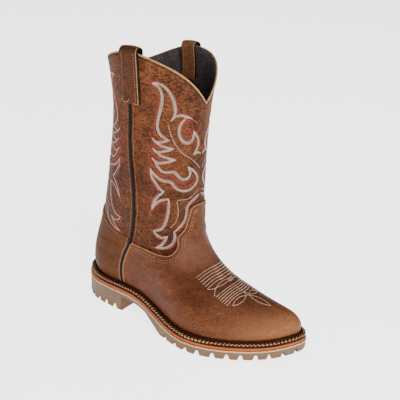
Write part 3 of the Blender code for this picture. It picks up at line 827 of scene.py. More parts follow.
low_seam = [spot for spot in seam_lines[-1] if spot[1] < COUNTER_SEAM_TOP]
counter_end = low_seam[-1][0] - SEAM_MARGIN - CORNER_GAP
counter_outline = [tuple(spot) for spot in counter_edge if spot[0] < counter_end]
counter_outline += [(station - SEAM_MARGIN, height) for station, height in low_seam[::-1]]
counter_outline += [(PAST_HEEL, IN_WELT)]
counter = panel("counter", counter_outline, COUNTER_LEATHER, COUNTER_TOP)

# %% [markdown]
# ## Sole
#
# The welt, the midsole and the insole keep their solids' shapes. Subdivision rounds them along the
# foot while creased edges keep their profiles. The outsole gets a small bevel on its lugs. The faces
# of its lip get a pale finish, and those that look along the sole's edge, in the notches, a dark one
# that is painted shade.

# %% Welt, midsole and insole
for node, material, slot in (
    ("welt", WELT_LEATHER_AND_SHADE, "welt_leather"),
    ("midsole", MIDSOLE_RUBBER, "midsole_rubber"),
    ("insole", INSOLE_LEATHER, "insole_leather"),
):
    shape = merged(node)
    join_quads(shape)
    crease_corners(shape)
    mesh = subdivided(shape, node)
    mesh.set_sharp_from_angle(angle=SHARP)
    add_piece(node + "_piece", mesh, (material,), (node,))
    print(node, len(mesh.polygons), "faces")

# %% Outsole
HEEL_HEIGHT = 26.0
FOREFOOT_HEIGHT = 12.0
TOP_LEVEL = (82.0, 182.0)
TOE_SPRING = 5.0
SPRING_START = 236.0
LIP = 2.4
LEVEL_TURN = 0.9
FLANK_TURN = 0.7
FLAT_LUG = math.radians(1)
LUG_BEVEL = 0.5
LUG_SHARP = math.radians(32)
SOLE_LANDMARKS = (
    # station, side
    (0.0, 0.0),
    (27.0, -33.5),
    (105.0, -44.0),
    (195.0, -66.0),
    (262.0, -33.0),
    (285.0, -9.0),
    (296.0, 16.0),
    (287.0, 32.5),
    (263.0, 41.5),
    (212.0, 48.5),
    (118.0, 33.0),
    (27.0, 34.0),
)
sole_edge = np.array(smooth_path(SOLE_LANDMARKS, 2.0, closed=True))
along = np.roll(sole_edge, -1, axis=0) - np.roll(sole_edge, 1, axis=0)
outward = np.stack([along[:, 1], -along[:, 0]], axis=1)
outward /= np.linalg.norm(outward, axis=1, keepdims=True)


def outsole_top(station):
    """The height of the outsole's top at a station."""
    drop = ease(station, *TOP_LEVEL)
    lift = TOE_SPRING * max(0.0, (station - SPRING_START) / (SOLE_LENGTH - SPRING_START)) ** 2
    return HEEL_HEIGHT + (FOREFOOT_HEIGHT - HEEL_HEIGHT) * drop + lift


def outsole_finish(face):
    """0 for the rubber's body, 1 for its lip and 2 for a flank, which takes painted shade."""
    lowest = min(face.verts, key=lambda vert: vert.co.z).co
    middle = face.calc_center_median()
    from_edge = sole_edge - (station_of(middle), side_of(middle))
    nearest = np.argmin(np.linalg.norm(from_edge, axis=1))
    facing = abs(Vector((*outward[nearest], 0.0)).dot(face.normal))
    rise = abs(face.normal.z)
    if outsole_top(station_of(lowest)) - lowest.z / MM < LIP and rise < LEVEL_TURN:
        return 1
    return 2 if facing < FLANK_TURN and rise < FLANK_TURN else 0


shape = merged("outsole")
bmesh.ops.dissolve_limit(
    shape, angle_limit=FLAT_LUG, verts=shape.verts, edges=shape.edges, use_dissolve_boundaries=False
)
for face in shape.faces:
    face.material_index = outsole_finish(face)
round_off = {"width": LUG_BEVEL * MM, "segments": 2, "limit_method": "ANGLE", "angle_limit": SHARP}
mesh = evaluated(mesh_of(shape, "outsole"), ("BEVEL", round_off))
mesh.shade_smooth()
mesh.set_sharp_from_angle(angle=LUG_SHARP)
add_piece("outsole_piece", mesh, (OUTSOLE_RUBBER, LIP_RUBBER, FLANK_SHADE_RUBBER), ("outsole",))
print("outsole", len(mesh.polygons), "faces")

# %% [markdown]
# ## Pull straps and piping
#
# Each strap is a loop of leather on a black tape that is wider at the front, so a cut edge and then a
# black strip show along the front of the strap. Two cuts along the strap mark the step, and the strip
# ahead of them is pressed down. A face of the strap that looks at the upper is its back, a face that
# looks along the boot is its edge, and the leg inside the shaft is painted paler, as painted light
# where it lies in shade.


# %% Straps
def strap_line(points, front):
    """The line of a strap's front or rear edge: slope and place of X against Z."""
    middle = np.polyfit(points[:, 2], points[:, 0], 1)
    ahead = points[:, 0] - np.polyval(middle, points[:, 2])
    edge = points[ahead > OUTERMOST * ahead.max()] if front else points[ahead < OUTERMOST * ahead.min()]
    return np.polyfit(edge[:, 2], edge[:, 0], 1)


def mark_faces(shape):
    """Gives each face of a strap its finish."""
    for face in shape.faces:
        middle = face.calc_center_median()
        nearest, normal, _, _ = skin_tree.find_nearest(middle)
        inward = nearest - normal * LEATHER / 2 * MM - middle
        if abs(face.normal.x) > EDGE_SHARE:
            face.material_index = CUT
        elif face.normal.dot(inward) > 0:
            face.material_index = TAPE
        elif (middle - nearest).dot(normal) < -LEATHER * MM:
            face.material_index = INNER_LEG


def press_strip(shape, slope, place):
    """Cuts off the strip ahead of a strap's leather and presses it down as tape."""
    for strip in (TAPE_STRIP, TAPE_STRIP - STEP_WIDTH):
        bmesh.ops.bisect_plane(
            shape,
            geom=[*shape.verts, *shape.edges, *shape.faces],
            plane_co=(place - strip * MM, 0.0, 0.0),
            plane_no=(1.0, 0.0, -slope),
        )
    shape.normal_update()
    pressed = set()
    for face in shape.faces:
        spot = face.calc_center_median()
        ahead = (spot.x - slope * spot.z - place) / MM + TAPE_STRIP
        if face.material_index in (WORN, INNER_LEG) and ahead > STEP_WIDTH:
            pressed.update(face.verts)
        if ahead > STEP_WIDTH:
            face.material_index = TAPE
        elif face.material_index != TAPE and ahead > 0:
            face.material_index = CUT
        elif face.material_index == CUT:
            face.material_index = WORN
    moves = [(vert, vert.normal * TAPE_STEP * MM) for vert in pressed]
    for vert, move in moves:
        vert.co -= Vector((0.0, move.y, move.z))
    shape.normal_update()


WORN, CUT, TAPE, INNER_LEG = range(4)
# the inner leg takes the paler leather, which is painted light
STRAP_FINISHES = (STRAP_LEATHER, TAN_EDGE, PIPING_LEATHER, STRAP_INSIDE_PAINTED_LIGHT)
STRAP_FLAT = 60
OUTERMOST = 0.7
EDGE_SHARE = 0.75
TAPE_STRIP = 2.0
TAPE_STEP = 0.45
STEP_WIDTH = 0.3
strap_lines = {}
strap_meshes = {}

for side in ("outer", "inner"):
    node = "pull_strap_" + side
    shape = merged(node)
    join_quads(shape, STRAP_FLAT)
    points = np.array([vert.co[:] for vert in shape.verts])
    strap_lines[side] = {front: strap_line(points, front) for front in (True, False)}
    mark_faces(shape)
    press_strip(shape, *strap_lines[side][True])
    crease_corners(shape)
    strap_meshes[side] = subdivided(shape, "strap")
    strap_meshes[side].set_sharp_from_angle(angle=SHARP)
    add_piece(node + "_piece", strap_meshes[side], STRAP_FINISHES, (node,))
    print("strap", side, len(strap_meshes[side].polygons), "faces")

# %% [markdown]
# A point of a seam is known by its station and height. A ray across the boot then finds the leather
# there, so a bead or a stitch always lies on what carries it. The piping is a round black bead, partly
# sunk in the seam.


# %% Piping
def on_side(tree, side, station, height):
    """The leather's outermost point and normal on one side at a station and height."""
    start = boot(station, FAR_SIDE * side, height)
    return tree.ray_cast(start, Vector((0.0, -side, 0.0)))[:2]


def bead(name, path, radius, material, nodes=()):
    """A round bead along a path of points, with its radius in millimetres."""
    curve = bpy.data.curves.new(name, "CURVE")
    curve.dimensions = "3D"
    curve.bevel_depth = radius * MM
    curve.bevel_resolution = 2
    curve.use_fill_caps = True
    spline = curve.splines.new("POLY")
    spline.points.add(len(path) - 1)
    for point, spot in zip(spline.points, path):
        point.co = (*spot, 1.0)
    mesh = evaluated(curve)
    bpy.data.curves.remove(curve)
    mesh.shade_smooth()
    add_piece(name, mesh, (material,), nodes)
    print(name, len(path), "points")


SIDES = ((-1, "outer"), (1, "inner"))
PIPING_RADIUS = 1.7
PIPING_SPAN = (29.0, 265.0)
PIPING_LIFT = 0.9
PIPING_LIFT_ON_PANELS = 1.5
PANELS_END = 98.0

for side, name in SIDES:
    path = []
    for station, height in seam_lines[side]:
        place, normal = on_side(skin_tree, side, station, height)
        lift = PIPING_LIFT if height > PANELS_END else PIPING_LIFT_ON_PANELS
        if place is not None and PIPING_SPAN[0] < height < PIPING_SPAN[1]:
            path.append(place + normal * lift * MM)
    node = "piping_" + name
    bead(node + "_piece", path, PIPING_RADIUS, PIPING_LEATHER, (node,))

# %% [markdown]
# ## Thread
#
# Every seam of the boot is sewn, and the shaft is embroidered. One stitch is a short spindle, made
# once from a sphere of few faces. A row of sewing copies it along a path: each copy lies on the
# leather, points along the path and stands a little proud. A row that looks for its leather does so
# from a little above, so that it finds the top layer. The stitches of one sewing become one piece.


# %% A stitch and a row of stitches
THREAD_FIBRES = (900.0, 2.0, 0.6)
THREAD_RELIEF = (0.0002, 0.5)
STITCH_HEIGHT = 0.6
STITCH_LIFT = 0.15
ABOVE = 1.6


def thread(name, colour, shade):
    """Twisted thread with a soft sheen."""
    finish = Finish(name, Roughness=0.6, Specular_IOR_Level=0.35)
    fibres = finish.noise(finish.where(), *THREAD_FIBRES)
    mixed = finish.mix(fibres.step(0.3, 0.7), shade, colour)
    return finish.set(Base_Color=mixed, Normal=finish.bump(fibres, *THREAD_RELIEF))


spindle = bmesh.new()
bmesh.ops.create_uvsphere(spindle, u_segments=6, v_segments=3, radius=0.5)
bmesh.ops.rotate(spindle, verts=spindle.verts, matrix=Matrix.Rotation(math.pi / 2, 3, "Y"))
SPINDLE = mesh_of(spindle, "spindle")


class Sewing:
    """Stitches of one colour that become one piece."""

    def __init__(self):
        self.shape = bmesh.new()
        self.count = 0

    def stitch(self, start, end, normal, width):
        """One stitch between two points of the leather, in metres, with its width in millimetres."""
        along = end - start
        across = normal.cross(along).normalized()
        rise = along.cross(across).normalized()
        columns = (along, across * width * MM, -rise * width * STITCH_HEIGHT * MM)
        place = Matrix(columns).transposed().to_4x4()
        place.translation = (start + end) / 2 + normal * width * STITCH_LIFT * MM
        placed = SPINDLE.copy()
        placed.transform(place)
        self.shape.from_mesh(placed)
        bpy.data.meshes.remove(placed)
        self.count += 1

    def row(self, path, length, gap, width, offset=0.0, tree=None):
        """Stitches along a path of points and normals, moved across it by an offset."""
        for start, end, normal, across in evenly(path, length, gap):
            spots = [place + across * offset * MM for place in (start, end)]
            if tree is not None:
                spots = [tree.find_nearest(spot + normal * ABOVE * MM)[0] for spot in spots]
            self.stitch(*spots, normal, width)

    def ticks(self, path, pitch, reach, width, offset, tree):
        """Short stitches across a path, with their middles moved off it by an offset."""
        for start, _, normal, across in evenly(path, pitch, 0.0):
            ends = [start + across * MM * (offset + way * reach / 2) for way in (-1, 1)]
            ends = [tree.find_nearest(spot + normal * ABOVE * MM)[0] for spot in ends]
            self.stitch(*ends, normal, width)

    def piece(self, name, material, slot):
        """The sewing as a piece."""
        mesh = mesh_of(self.shape, name)
        add_piece(name, mesh, (material,))
        print(name, self.count, "stitches")


def evenly(path, length, gap):
    """Both ends, the normal and the way across of each stitch along a path of points and normals."""
    places = np.array([place[:] for place, _ in path])
    normals = np.array([normal[:] for _, normal in path])
    steps = np.linalg.norm(np.diff(places, axis=0), axis=1)
    reach = np.concatenate([[0.0], np.cumsum(steps)])
    pitch = (length + gap) * MM
    count = max(1, int(reach[-1] / pitch))
    pitch = reach[-1] / count
    share = length / (length + gap)

    def spot(at):
        """The path's point and normal at a distance along it."""
        place = [np.interp(at, reach, places[:, k]) for k in range(3)]
        normal = [np.interp(at, reach, normals[:, k]) for k in range(3)]
        return Vector(place), Vector(normal).normalized()

    found = []
    for i in range(count):
        start, first_normal = spot(i * pitch)
        end, last_normal = spot((i + share) * pitch)
        normal = (first_normal + last_normal).normalized()
        found.append((start, end, normal, normal.cross(end - start).normalized()))
    return found


leather_tree = tree_of(upper.data, vamp.data, counter.data)
vamp_tree = tree_of(vamp.data)
WHITE_THREAD = thread("white_thread", (0.520, 0.385, 0.310), (0.200, 0.138, 0.105))
RED_THREAD = thread("red_thread", (0.265, 0.021, 0.022), (0.160, 0.010, 0.011))
TAN_THREAD = thread("tan_thread", (0.340, 0.155, 0.055), (0.200, 0.080, 0.027))
CREAM_THREAD = thread("cream_thread", (0.520, 0.390, 0.250), (0.290, 0.200, 0.120))
PALE_THREAD = thread("pale_thread", (0.480, 0.330, 0.240), (0.330, 0.215, 0.150))
GOLD_THREAD = thread("gold_thread", (0.420, 0.235, 0.050), (0.220, 0.110, 0.022))
BROWN_THREAD = thread("brown_thread", (0.026, 0.009, 0.004), (0.012, 0.004, 0.002))
GREY_THREAD = thread("grey_thread", (0.115, 0.100, 0.095), (0.070, 0.060, 0.056))
print("thread ready")

# %% [markdown]
# ## Shaft embroidery
#
# A traditional flame climbs the front of the shaft: bands of pale stitches, a bold red line along one
# side of them that runs on past their tips, and two single lines. The strokes below were drawn on the
# picture. Each is turned into points of the leather, and from there into a turn round the shaft and a
# height, so that the inner side and the back can take the same flame.

# %% The flame's strokes
FLAME = (
    # name, picture points
    ("left curve", ((151.7, 83), (158, 86.6), (161.9, 94.2), (162.2, 100.6), (160.6, 109.5),
                    (158, 119.7), (157.4, 127.4), (159.3, 133), (163.8, 137.6), (168.8, 140.7))),
    ("first barb back", ((168.8, 140.7), (162, 142), (156, 142.2), (152.4, 138))),
    ("first barb out", ((155.8, 142.2), (161.5, 146), (167, 147.8), (173.8, 149))),
    ("second barb back", ((173.8, 149), (165.7, 151), (157, 152.3), (153, 148.6))),
    ("second barb out", ((156.5, 152.3), (161, 155.8), (168, 158.4), (175.6, 160))),
    ("third barb back", ((175.6, 160), (165.7, 162.5), (157.4, 163), (152.1, 158))),
    ("middle wave", ((154.5, 161.5), (158, 167), (162, 171.4), (167, 172.6), (172, 171.8),
                     (175.4, 172.6), (178.4, 176.7), (183.3, 179.8), (188.2, 178), (190.4, 173),
                     (188.2, 167))),
    ("lower wave", ((188.2, 167), (193.2, 170.4), (197.4, 177.4), (195.3, 184.4), (189.6, 189.6),
                    (183.3, 191), (176.3, 188.6), (170.7, 182.3), (163.7, 181), (158, 178),
                    (153.2, 173), (150.4, 168.6))),
    ("left leaf", ((150.6, 169), (151.8, 176.7), (156, 183.7), (160.9, 190), (163.9, 191.6))),
    ("left thorn", ((163.9, 191.6), (158.8, 195.6), (154.6, 200.5), (151.8, 209))),
    ("leaf top", ((151.8, 209), (156.7, 202.6), (162.3, 200), (168.6, 199.2))),
    ("leaf back", ((168.6, 199.2), (168.8, 206), (167.9, 214.6), (165, 223.7), (160.9, 229.3),
                   (153.2, 230.7))),
    ("lower barb", ((153.2, 230.7), (157.6, 235.6), (162.7, 237.9), (167.6, 236.3))),
    ("lower thorn", ((167.6, 236.3), (165, 241), (161.4, 245.2), (156, 247.8))),
    ("foot", ((156, 247.8), (163.7, 248.1), (170, 246), (173.5, 242), (174.9, 237), (174.2, 232))),
    ("stem", ((174.2, 232), (179, 228), (184, 221.6), (186.8, 213), (187.2, 206.8), (191.8, 201),
              (197.4, 195.6), (202.6, 187.4))),
    ("right curve", ((151.7, 83), (160, 84), (166.4, 88.5), (171.5, 95.5), (174.6, 104.4),
                     (175.3, 112), (174.4, 116.5), (171, 121))),
    ("scroll", ((174.6, 117), (181, 115.6), (187.4, 117), (192, 118.6))),
    ("hook", ((186, 118.5), (181, 124), (179, 131), (180.4, 138), (184.8, 142.7), (189.3, 142.7),
              (193, 139), (193.8, 131))),
    ("hook end", ((193.8, 131), (197.6, 137.6), (198.2, 144), (196.3, 150), (193.5, 154.8))),
    ("front barb", ((193.5, 154.8), (197.6, 152), (201.4, 154.4), (203.6, 158.6))),
)
RED_LINES = (
    # name, picture points
    ("left curve", ((145.4, 82.4), (151, 83.8), (155.6, 88.8), (158.4, 94), (159.2, 99.8),
                    (158.4, 106.4), (156.8, 113), (155, 119.6), (154.3, 126.2), (155.2, 132),
                    (157.8, 137), (162.4, 139.8))),
    ("first spike", ((149.4, 130), (150, 133.8), (151.6, 138.7), (154.8, 143.6), (159.3, 147.8),
                     (165.2, 150))),
    ("second spike", ((147.7, 142), (149.2, 147), (151.8, 152), (155.6, 156.2), (160.6, 159.4),
                      (165.6, 160.4))),
    ("third spike", ((148.5, 152.8), (149.3, 157.8), (151.8, 163.6), (155, 169), (159.4, 173.6),
                     (164.2, 175.8), (169.6, 175.2), (172.8, 176.6), (175.4, 179.8), (179.6, 182),
                     (184.6, 182.2), (189.4, 180.4), (192, 177.4), (192.6, 174.6))),
    ("lower wave", ((153.6, 171.6), (158, 176), (163.6, 179.2), (170, 179), (173.6, 182.2),
                    (178, 185.6), (183.6, 187.2), (189.4, 185.8), (193.4, 181.8), (194, 177.6),
                    (192.4, 174.4))),
    ("left leaf", ((148.6, 166.2), (149, 172.4), (150.4, 178.4), (153, 184), (156.4, 188.4),
                   (158.8, 191.2))),
    ("left thorn", ((158.8, 191.4), (154.8, 195.8), (151.9, 201.4), (150.4, 208), (149.4, 216))),
    ("leaf top", ((150, 213), (153, 208.8), (156.4, 205.2), (161.2, 203), (166.2, 202.6))),
    ("leaf back", ((166.2, 202.6), (166.2, 209.6), (164.8, 216.4), (162.2, 222.4), (158.8, 227),
                   (155, 229), (150, 229.2))),
    ("lower barb", ((150.4, 229.4), (153, 233.8), (156.4, 237.4), (160.6, 239.2), (163.4, 239.6))),
    ("lower thorn", ((163.4, 239.8), (160.4, 243), (156.4, 246.2), (151.6, 247.5))),
    ("foot", ((151.6, 247.5), (156.6, 248.6), (162.2, 249.6), (168, 248.9), (173, 246.4),
              (175.6, 242.8), (176.8, 238.6), (176.8, 233.8), (181.2, 229.4), (185.4, 223.8),
              (187.6, 217.8), (188, 211.2), (189.2, 206.4), (193.8, 201.4), (198.6, 196.4),
              (202, 190.4))),
    ("right curve", ((145.6, 82.2), (151.4, 81.6), (157.2, 82), (162.2, 84.4), (167.2, 88.2),
                     (171.8, 93.2), (175, 98.8), (176.7, 105.6), (177.3, 112))),
    ("scroll", ((177.2, 113.6), (181.2, 113.8), (186.2, 115), (191.2, 118), (194.8, 120.8), (197, 123))),
    ("hook", ((191, 119.6), (186.2, 121.8), (182.6, 125.4), (180.9, 130.4), (181.6, 135.4),
              (184.5, 139.4), (188.2, 139.8), (190.8, 137), (191.6, 132.8), (189.6, 130),
              (186.2, 128.3))),
    ("hook end", ((186.2, 128.3), (190.8, 129), (194.6, 132), (197.8, 136.6), (199.8, 142.6),
                  (199.6, 148.6), (198, 152.2), (201.6, 153.6), (204.4, 156.2))),
)
SINGLE_LINES = (
    # name, picture points
    ("upper line", ((168.3, 124.8), (170.2, 132.5), (174, 142), (182.3, 153), (191, 158.6),
                    (197, 164.4), (200.5, 169))),
    ("lower line", ((198, 189.6), (193, 195), (187.5, 199), (177.7, 201), (178.4, 209.6),
                    (177.7, 216.7), (174.9, 223), (170, 228))),
)
print("strokes", len(FLAME) + len(RED_LINES) + len(SINGLE_LINES))

# %% Places round the shaft
SHAFT_AXIS = boot(95.0, 2.0, 0.0)
OUTSIDE = 0.2
FLAME_TOP = 0.291
BACK_SQUEEZE = 0.975
BACK_LEAN = 12.0
LEAN_FROM = 0.240
CLEAR_OF_MIDDLE = 1.6
STROKE_STEP = 1.2


def turn_of(place):
    """A point's turn round the shaft in degrees, 0 at the front and negative on the outer side."""
    return math.degrees(math.atan2(place.y - SHAFT_AXIS.y, place.x - SHAFT_AXIS.x))


def round_shaft(turn, height):
    """The leather's point and normal at a turn and a height in metres."""
    inward = -Vector((math.cos(math.radians(turn)), math.sin(math.radians(turn)), 0.0))
    start = Vector((SHAFT_AXIS.x, SHAFT_AXIS.y, height)) - inward * OUTSIDE
    return skin_tree.ray_cast(start, inward)[:2]


def panel_spot(place, side, behind):
    """The point and normal of one panel for a point of the outer front panel, or None past its middle."""
    turn, height = turn_of(place), place.z
    if behind:
        turn = -180 - turn - BACK_LEAN * float(ease(height, LEAN_FROM, FLAME_TOP))
        height = FLAME_TOP - (FLAME_TOP - height) * BACK_SQUEEZE
    if not -180 + CLEAR_OF_MIDDLE < turn < -CLEAR_OF_MIDDLE:
        return None
    found = round_shaft(turn * side, height)
    return None if found[0] is None else found


def stroke_on(pixels, side, behind):
    """A drawn stroke as points and normals on one panel, cut where it leaves the panel."""
    path = []
    for place in seen(skin_tree, smooth_path(pixels, STROKE_STEP)):
        found = panel_spot(place, side, behind)
        if found:
            path.append(found)
        elif path:
            break
    return path


print("front of the shaft at", [round(v, 4) for v in round_shaft(0.0, LEAN_FROM)[0]])

# %% [markdown]
# A band is some rows side by side, which run together at the stroke's tips. Every second row is half a
# stitch late, and each stitch strays a little, as hand-guided stitching does.

# %% Embroidering the four panels
PANELS = (
    # name, 1 on the outer side or -1 on the inner side, at the back
    ("outer_front", 1, False),
    ("inner_front", -1, False),
    ("outer_back", 1, True),
    ("inner_back", -1, True),
)
BAND_ROWS = (-1.2, -0.4, 0.4, 1.2)
BACK_ROWS = BAND_ROWS[1:3]
RED_ROWS = (-0.42, 0.42)
TIP = 6.0
# length, gap and width of a stitch, length of the tips
WHITE_BAND = (1.7, 0.35, 1.0, TIP)
WHITE_LINE = (2.2, 0.3, 1.0, 0.0)
RED_BAND = (2.0, 0.3, 0.95, TIP)
TIP_SPREAD = 0.15
STRAY = 0.14
STRAY_BY_STITCH = 12.9
STRAY_BY_ROW = 7.3
SHORTEST = 3


def band(sewing, path, rows, length, gap, width, taper):
    """Rows side by side along a path, which run in to its middle at its tips."""
    stitches = evenly(path, length, gap)
    total = len(stitches) * (length + gap)
    for row, offset in enumerate(rows):
        for i, (start, end, normal, across) in enumerate(stitches):
            along = (i + 0.5) * (length + gap)
            share = float(ease(min(along, total - along), 0.0, taper)) if taper else 1.0
            stray = STRAY * math.sin(STRAY_BY_STITCH * i + STRAY_BY_ROW * row)
            aside = offset * (TIP_SPREAD + (1 - TIP_SPREAD) * share) + stray
            shift = across * MM * aside + (end - start) * 0.5 * (row % 2)
            spots = [skin_tree.find_nearest(place + shift)[0] for place in (start, end)]
            sewing.stitch(*spots, normal, width)


for name, side, behind in PANELS:
    white = Sewing()
    red = Sewing()
    for sewing, strokes, rows, stitch in (
        (white, FLAME, BACK_ROWS if behind else BAND_ROWS, WHITE_BAND),
        (white, SINGLE_LINES, (0.0,), WHITE_LINE),
        (red, RED_LINES, RED_ROWS, RED_BAND),
    ):
        for _, pixels in strokes:
            path = stroke_on(pixels, side, behind)
            if len(path) > SHORTEST:
                band(sewing, path, rows, *stitch)
    white.piece("white_flame_" + name, WHITE_THREAD, "upper_leather")
    red.piece("red_flame_" + name, RED_THREAD, "upper_leather")

# %% [markdown]
# ## Toe stitching
#
# The vamp carries pale lines across the foot, which keep it from folding, and a small bud ahead of
# them. The outer half was drawn on the picture. The inner half of the lines is their mirror image
# across the ridge of the vamp, which is found by looking for the highest leather at each station, and
# the bud stands on the ridge itself.

# %% Toe lines
FIRST_GROUP = (
    # picture points of the first and the last line
    ((195.9, 277.8), (207.1, 269.8), (220.6, 262.4)),
    ((207.0, 289.2), (216.5, 281.2), (231.6, 272.6)),
)
SECOND_GROUP = (
    # picture points of the first and the last line
    ((216.0, 297.2), (226.5, 288.6), (238.0, 280.8)),
    ((226.4, 306.0), (235.0, 297.0), (248.6, 288.6)),
)
GROUP_LINES = 6
LOOPS = (
    # name, picture points
    ("first loop", ((207.4, 289.3), (213.0, 289.2), (217.0, 287.2), (223.2, 284.6), (228.4, 280.8),
                    (231.0, 279.8))),
    ("second loop", ((214.6, 296.6), (214.8, 291.2), (217.0, 286.4), (221.8, 281.4), (227.4, 278.6),
                     (231.2, 276.8))),
    ("knot", ((227.4, 279.0), (230.2, 276.9), (232.4, 279.0), (230.6, 280.9), (227.4, 279.0))),
    ("outer petal back", ((232.6, 306.0), (235.0, 300.6), (241.0, 296.4), (246.4, 295.4))),
    ("outer petal front", ((246.4, 295.4), (243.4, 300.8), (238.4, 304.2), (232.6, 306.0))),
)
BUD = (
    # name, picture points
    ("toe petal back", ((249.2, 295.1), (255.6, 296.3), (263.6, 299.9), (271.2, 305.8))),
    ("toe petal front", ((271.2, 305.8), (263.2, 304.0), (256.4, 301.0), (249.2, 295.1))),
    ("far petal", ((248.6, 293.0), (250.6, 290.4), (253.8, 289.9), (257.5, 291.4), (254.6, 293.5),
                   (248.8, 293.8))),
    ("bud knot", ((243.6, 291.8), (246.4, 292.4), (249.2, 294.2), (250.2, 295.2))),
    ("bud knot below", ((243.8, 292.0), (245.6, 294.6), (248.0, 295.2), (250.2, 295.2))),
)
# length, gap and width of a stitch, where a gap below zero is an overlap
TOE_STITCH = (3.0, -0.8, 0.85)
DOWN = Vector((0.0, 0.0, -1.0))
RIDGE_SIDES = np.arange(-30.0, 31.0, 2.0)
RIDGE_STATIONS = np.arange(180.0, 285.0, 7.0)


def ridge_side(station):
    """The side at which the vamp is highest at a station, in metres."""
    starts = [Vector((*boot(station, side, 0.0).xy, OUTSIDE)) for side in RIDGE_SIDES]
    places = [vamp_tree.ray_cast(start, DOWN)[0] for start in starts]
    return max((place for place in places if place is not None), key=lambda place: place.z).y


ridge_fit = np.polyfit(RIDGE_STATIONS, [ridge_side(station) for station in RIDGE_STATIONS], 3)


def across_ridge(place):
    """The vamp's point and normal that mirrors a point across the ridge."""
    mirrored = 2 * float(np.polyval(ridge_fit, station_of(place))) - place.y
    return vamp_tree.ray_cast(Vector((place.x, mirrored, OUTSIDE)), DOWN)[:2]


mirrored_lines = [pixels for _, pixels in LOOPS]
for first, last in (FIRST_GROUP, SECOND_GROUP):
    for share in np.linspace(0, 1, GROUP_LINES):
        mirrored_lines.append([np.array(a) * (1 - share) + np.array(b) * share for a, b in zip(first, last)])
toe = Sewing()
for pixels in [*mirrored_lines, *(pixels for _, pixels in BUD)]:
    near = seen(vamp_tree, smooth_path(pixels, STROKE_STEP))
    toe.row([(place, vamp_tree.find_nearest(place)[1]) for place in near], *TOE_STITCH, 0.0, vamp_tree)
for pixels in mirrored_lines:
    far = [across_ridge(place) for place in seen(vamp_tree, smooth_path(pixels, STROKE_STEP))]
    far = [spot for spot in far if spot[0] is not None]
    if len(far) > 2:
        toe.row(far, *TOE_STITCH, 0.0, vamp_tree)
toe.piece("toe_stitching", PALE_THREAD, "vamp_leather")

# %% [markdown]
# ## Seams
#
# The vamp's cut edge shows as a golden line all round, so it gets a fine bead of its own, and so do the
# edges of both panels beside the piping. Three rows follow the vamp's edge round the tongue and two
# rows of short ticks follow it along the side. Two rows run under the counter's edge, one along each
# side of the piping, one round the collar on each face, and one along each edge of the straps.


# %% Seam rows
STATION, HEIGHT = range(2)


def edge_path(edge, side, span, measure=STATION):
    """A side outline's points on the leather within a span, with the skin's normals under them."""
    path = []
    for spot in edge:
        place, normal = on_side(skin_tree, side, *spot)
        if place is not None and span[0] < spot[measure] < span[1]:
            path.append((leather_tree.find_nearest(place + normal * ABOVE * MM)[0], normal))
    return path


def towards(path, hint):
    """1 where a positive offset goes the hint's way, or -1."""
    middle = len(path) // 2
    across = path[middle][1].cross(path[middle + 1][0] - path[middle][0])
    return 1 if across.dot(Vector(hint)) > 0 else -1


VAMP_SPAN = (88.0, math.inf)
TICK_SPAN = (90.0, 128.0)
TONGUE_SPAN = (128.0, math.inf)
COUNTER_SPAN = (12.0, 80.0)
SEAM_SPAN = (38.0, 261.0)
# distances from an edge
DARK_ROW = 2.4
TONGUE_ROWS = (5.0, 7.6)
TICK_ROWS = (4.4, 8.0)
COUNTER_ROWS = (2.8, 5.8)
PIPING_ROWS = (-4.2, 4.2)
# length, gap and width of a stitch
DARK_STITCH = (1.9, 0.6, 0.9)
TONGUE_STITCH = (1.7, 0.5, 0.85)
COUNTER_STITCH = (1.9, 0.5, 0.8)
PIPING_STITCH = (2.1, 0.8, 0.9)
# pitch, reach and width of a tick
TICK = (2.1, 1.5, 0.8)
seams = Sewing()
dark_seams = Sewing()
tongue = {}
for side, _ in SIDES:
    tongue[side] = edge_path(vamp_edge, side, VAMP_SPAN)
    side_part = edge_path(vamp_edge, side, TICK_SPAN)
    top_part = edge_path(vamp_edge, side, TONGUE_SPAN)
    inside = towards(top_part, (1, 0, -1))
    dark_seams.row(top_part, *DARK_STITCH, inside * DARK_ROW, leather_tree)
    for offset in TONGUE_ROWS:
        seams.row(top_part, *TONGUE_STITCH, inside * offset, leather_tree)
    inside = towards(side_part, (0, 0, -1))
    for offset in TICK_ROWS:
        seams.ticks(side_part, *TICK, inside * offset, leather_tree)
    counter_path = edge_path(counter_edge, side, COUNTER_SPAN)
    inside = towards(counter_path, (-1, 0, -1))
    for offset in COUNTER_ROWS:
        dark_seams.row(counter_path, *COUNTER_STITCH, inside * offset, leather_tree)
    seam_path = edge_path(seam_lines[side], side, SEAM_SPAN, HEIGHT)
    for offset in PIPING_ROWS:
        seams.row(seam_path, *PIPING_STITCH, offset, leather_tree)
seams.piece("side_seam_stitching", TAN_THREAD, "upper_leather")
dark_seams.piece("panel_stitching", BROWN_THREAD, "vamp_leather")

# %% Raw edges of the panels
VAMP_BEAD = 0.6
VAMP_BEAD_STEP = 2.0
SEAM_BEAD = 0.5
SEAM_BEAD_SPAN = (36.0, 92.0)
round_tongue = [place for place, _ in [*tongue[-1], *tongue[1][::-1]]]
bead("vamp_raw_edge", smooth_path(round_tongue, VAMP_BEAD_STEP * MM), VAMP_BEAD, GOLDEN_EDGE)
for side, name in SIDES:
    for panel_name, margin in (("vamp", SEAM_MARGIN), ("counter", -SEAM_MARGIN)):
        spots = [(station + margin, height) for station, height in seam_lines[side]]
        path = [place for place, _ in edge_path(spots, side, SEAM_BEAD_SPAN, HEIGHT)]
        bead(panel_name + "_seam_edge_" + name, path, SEAM_BEAD, GOLDEN_EDGE)

# %% [markdown]
# The collar's cut leather shows as a pale line outside the turned lining, so a bead lies on the outer
# corner of the wall's rim.


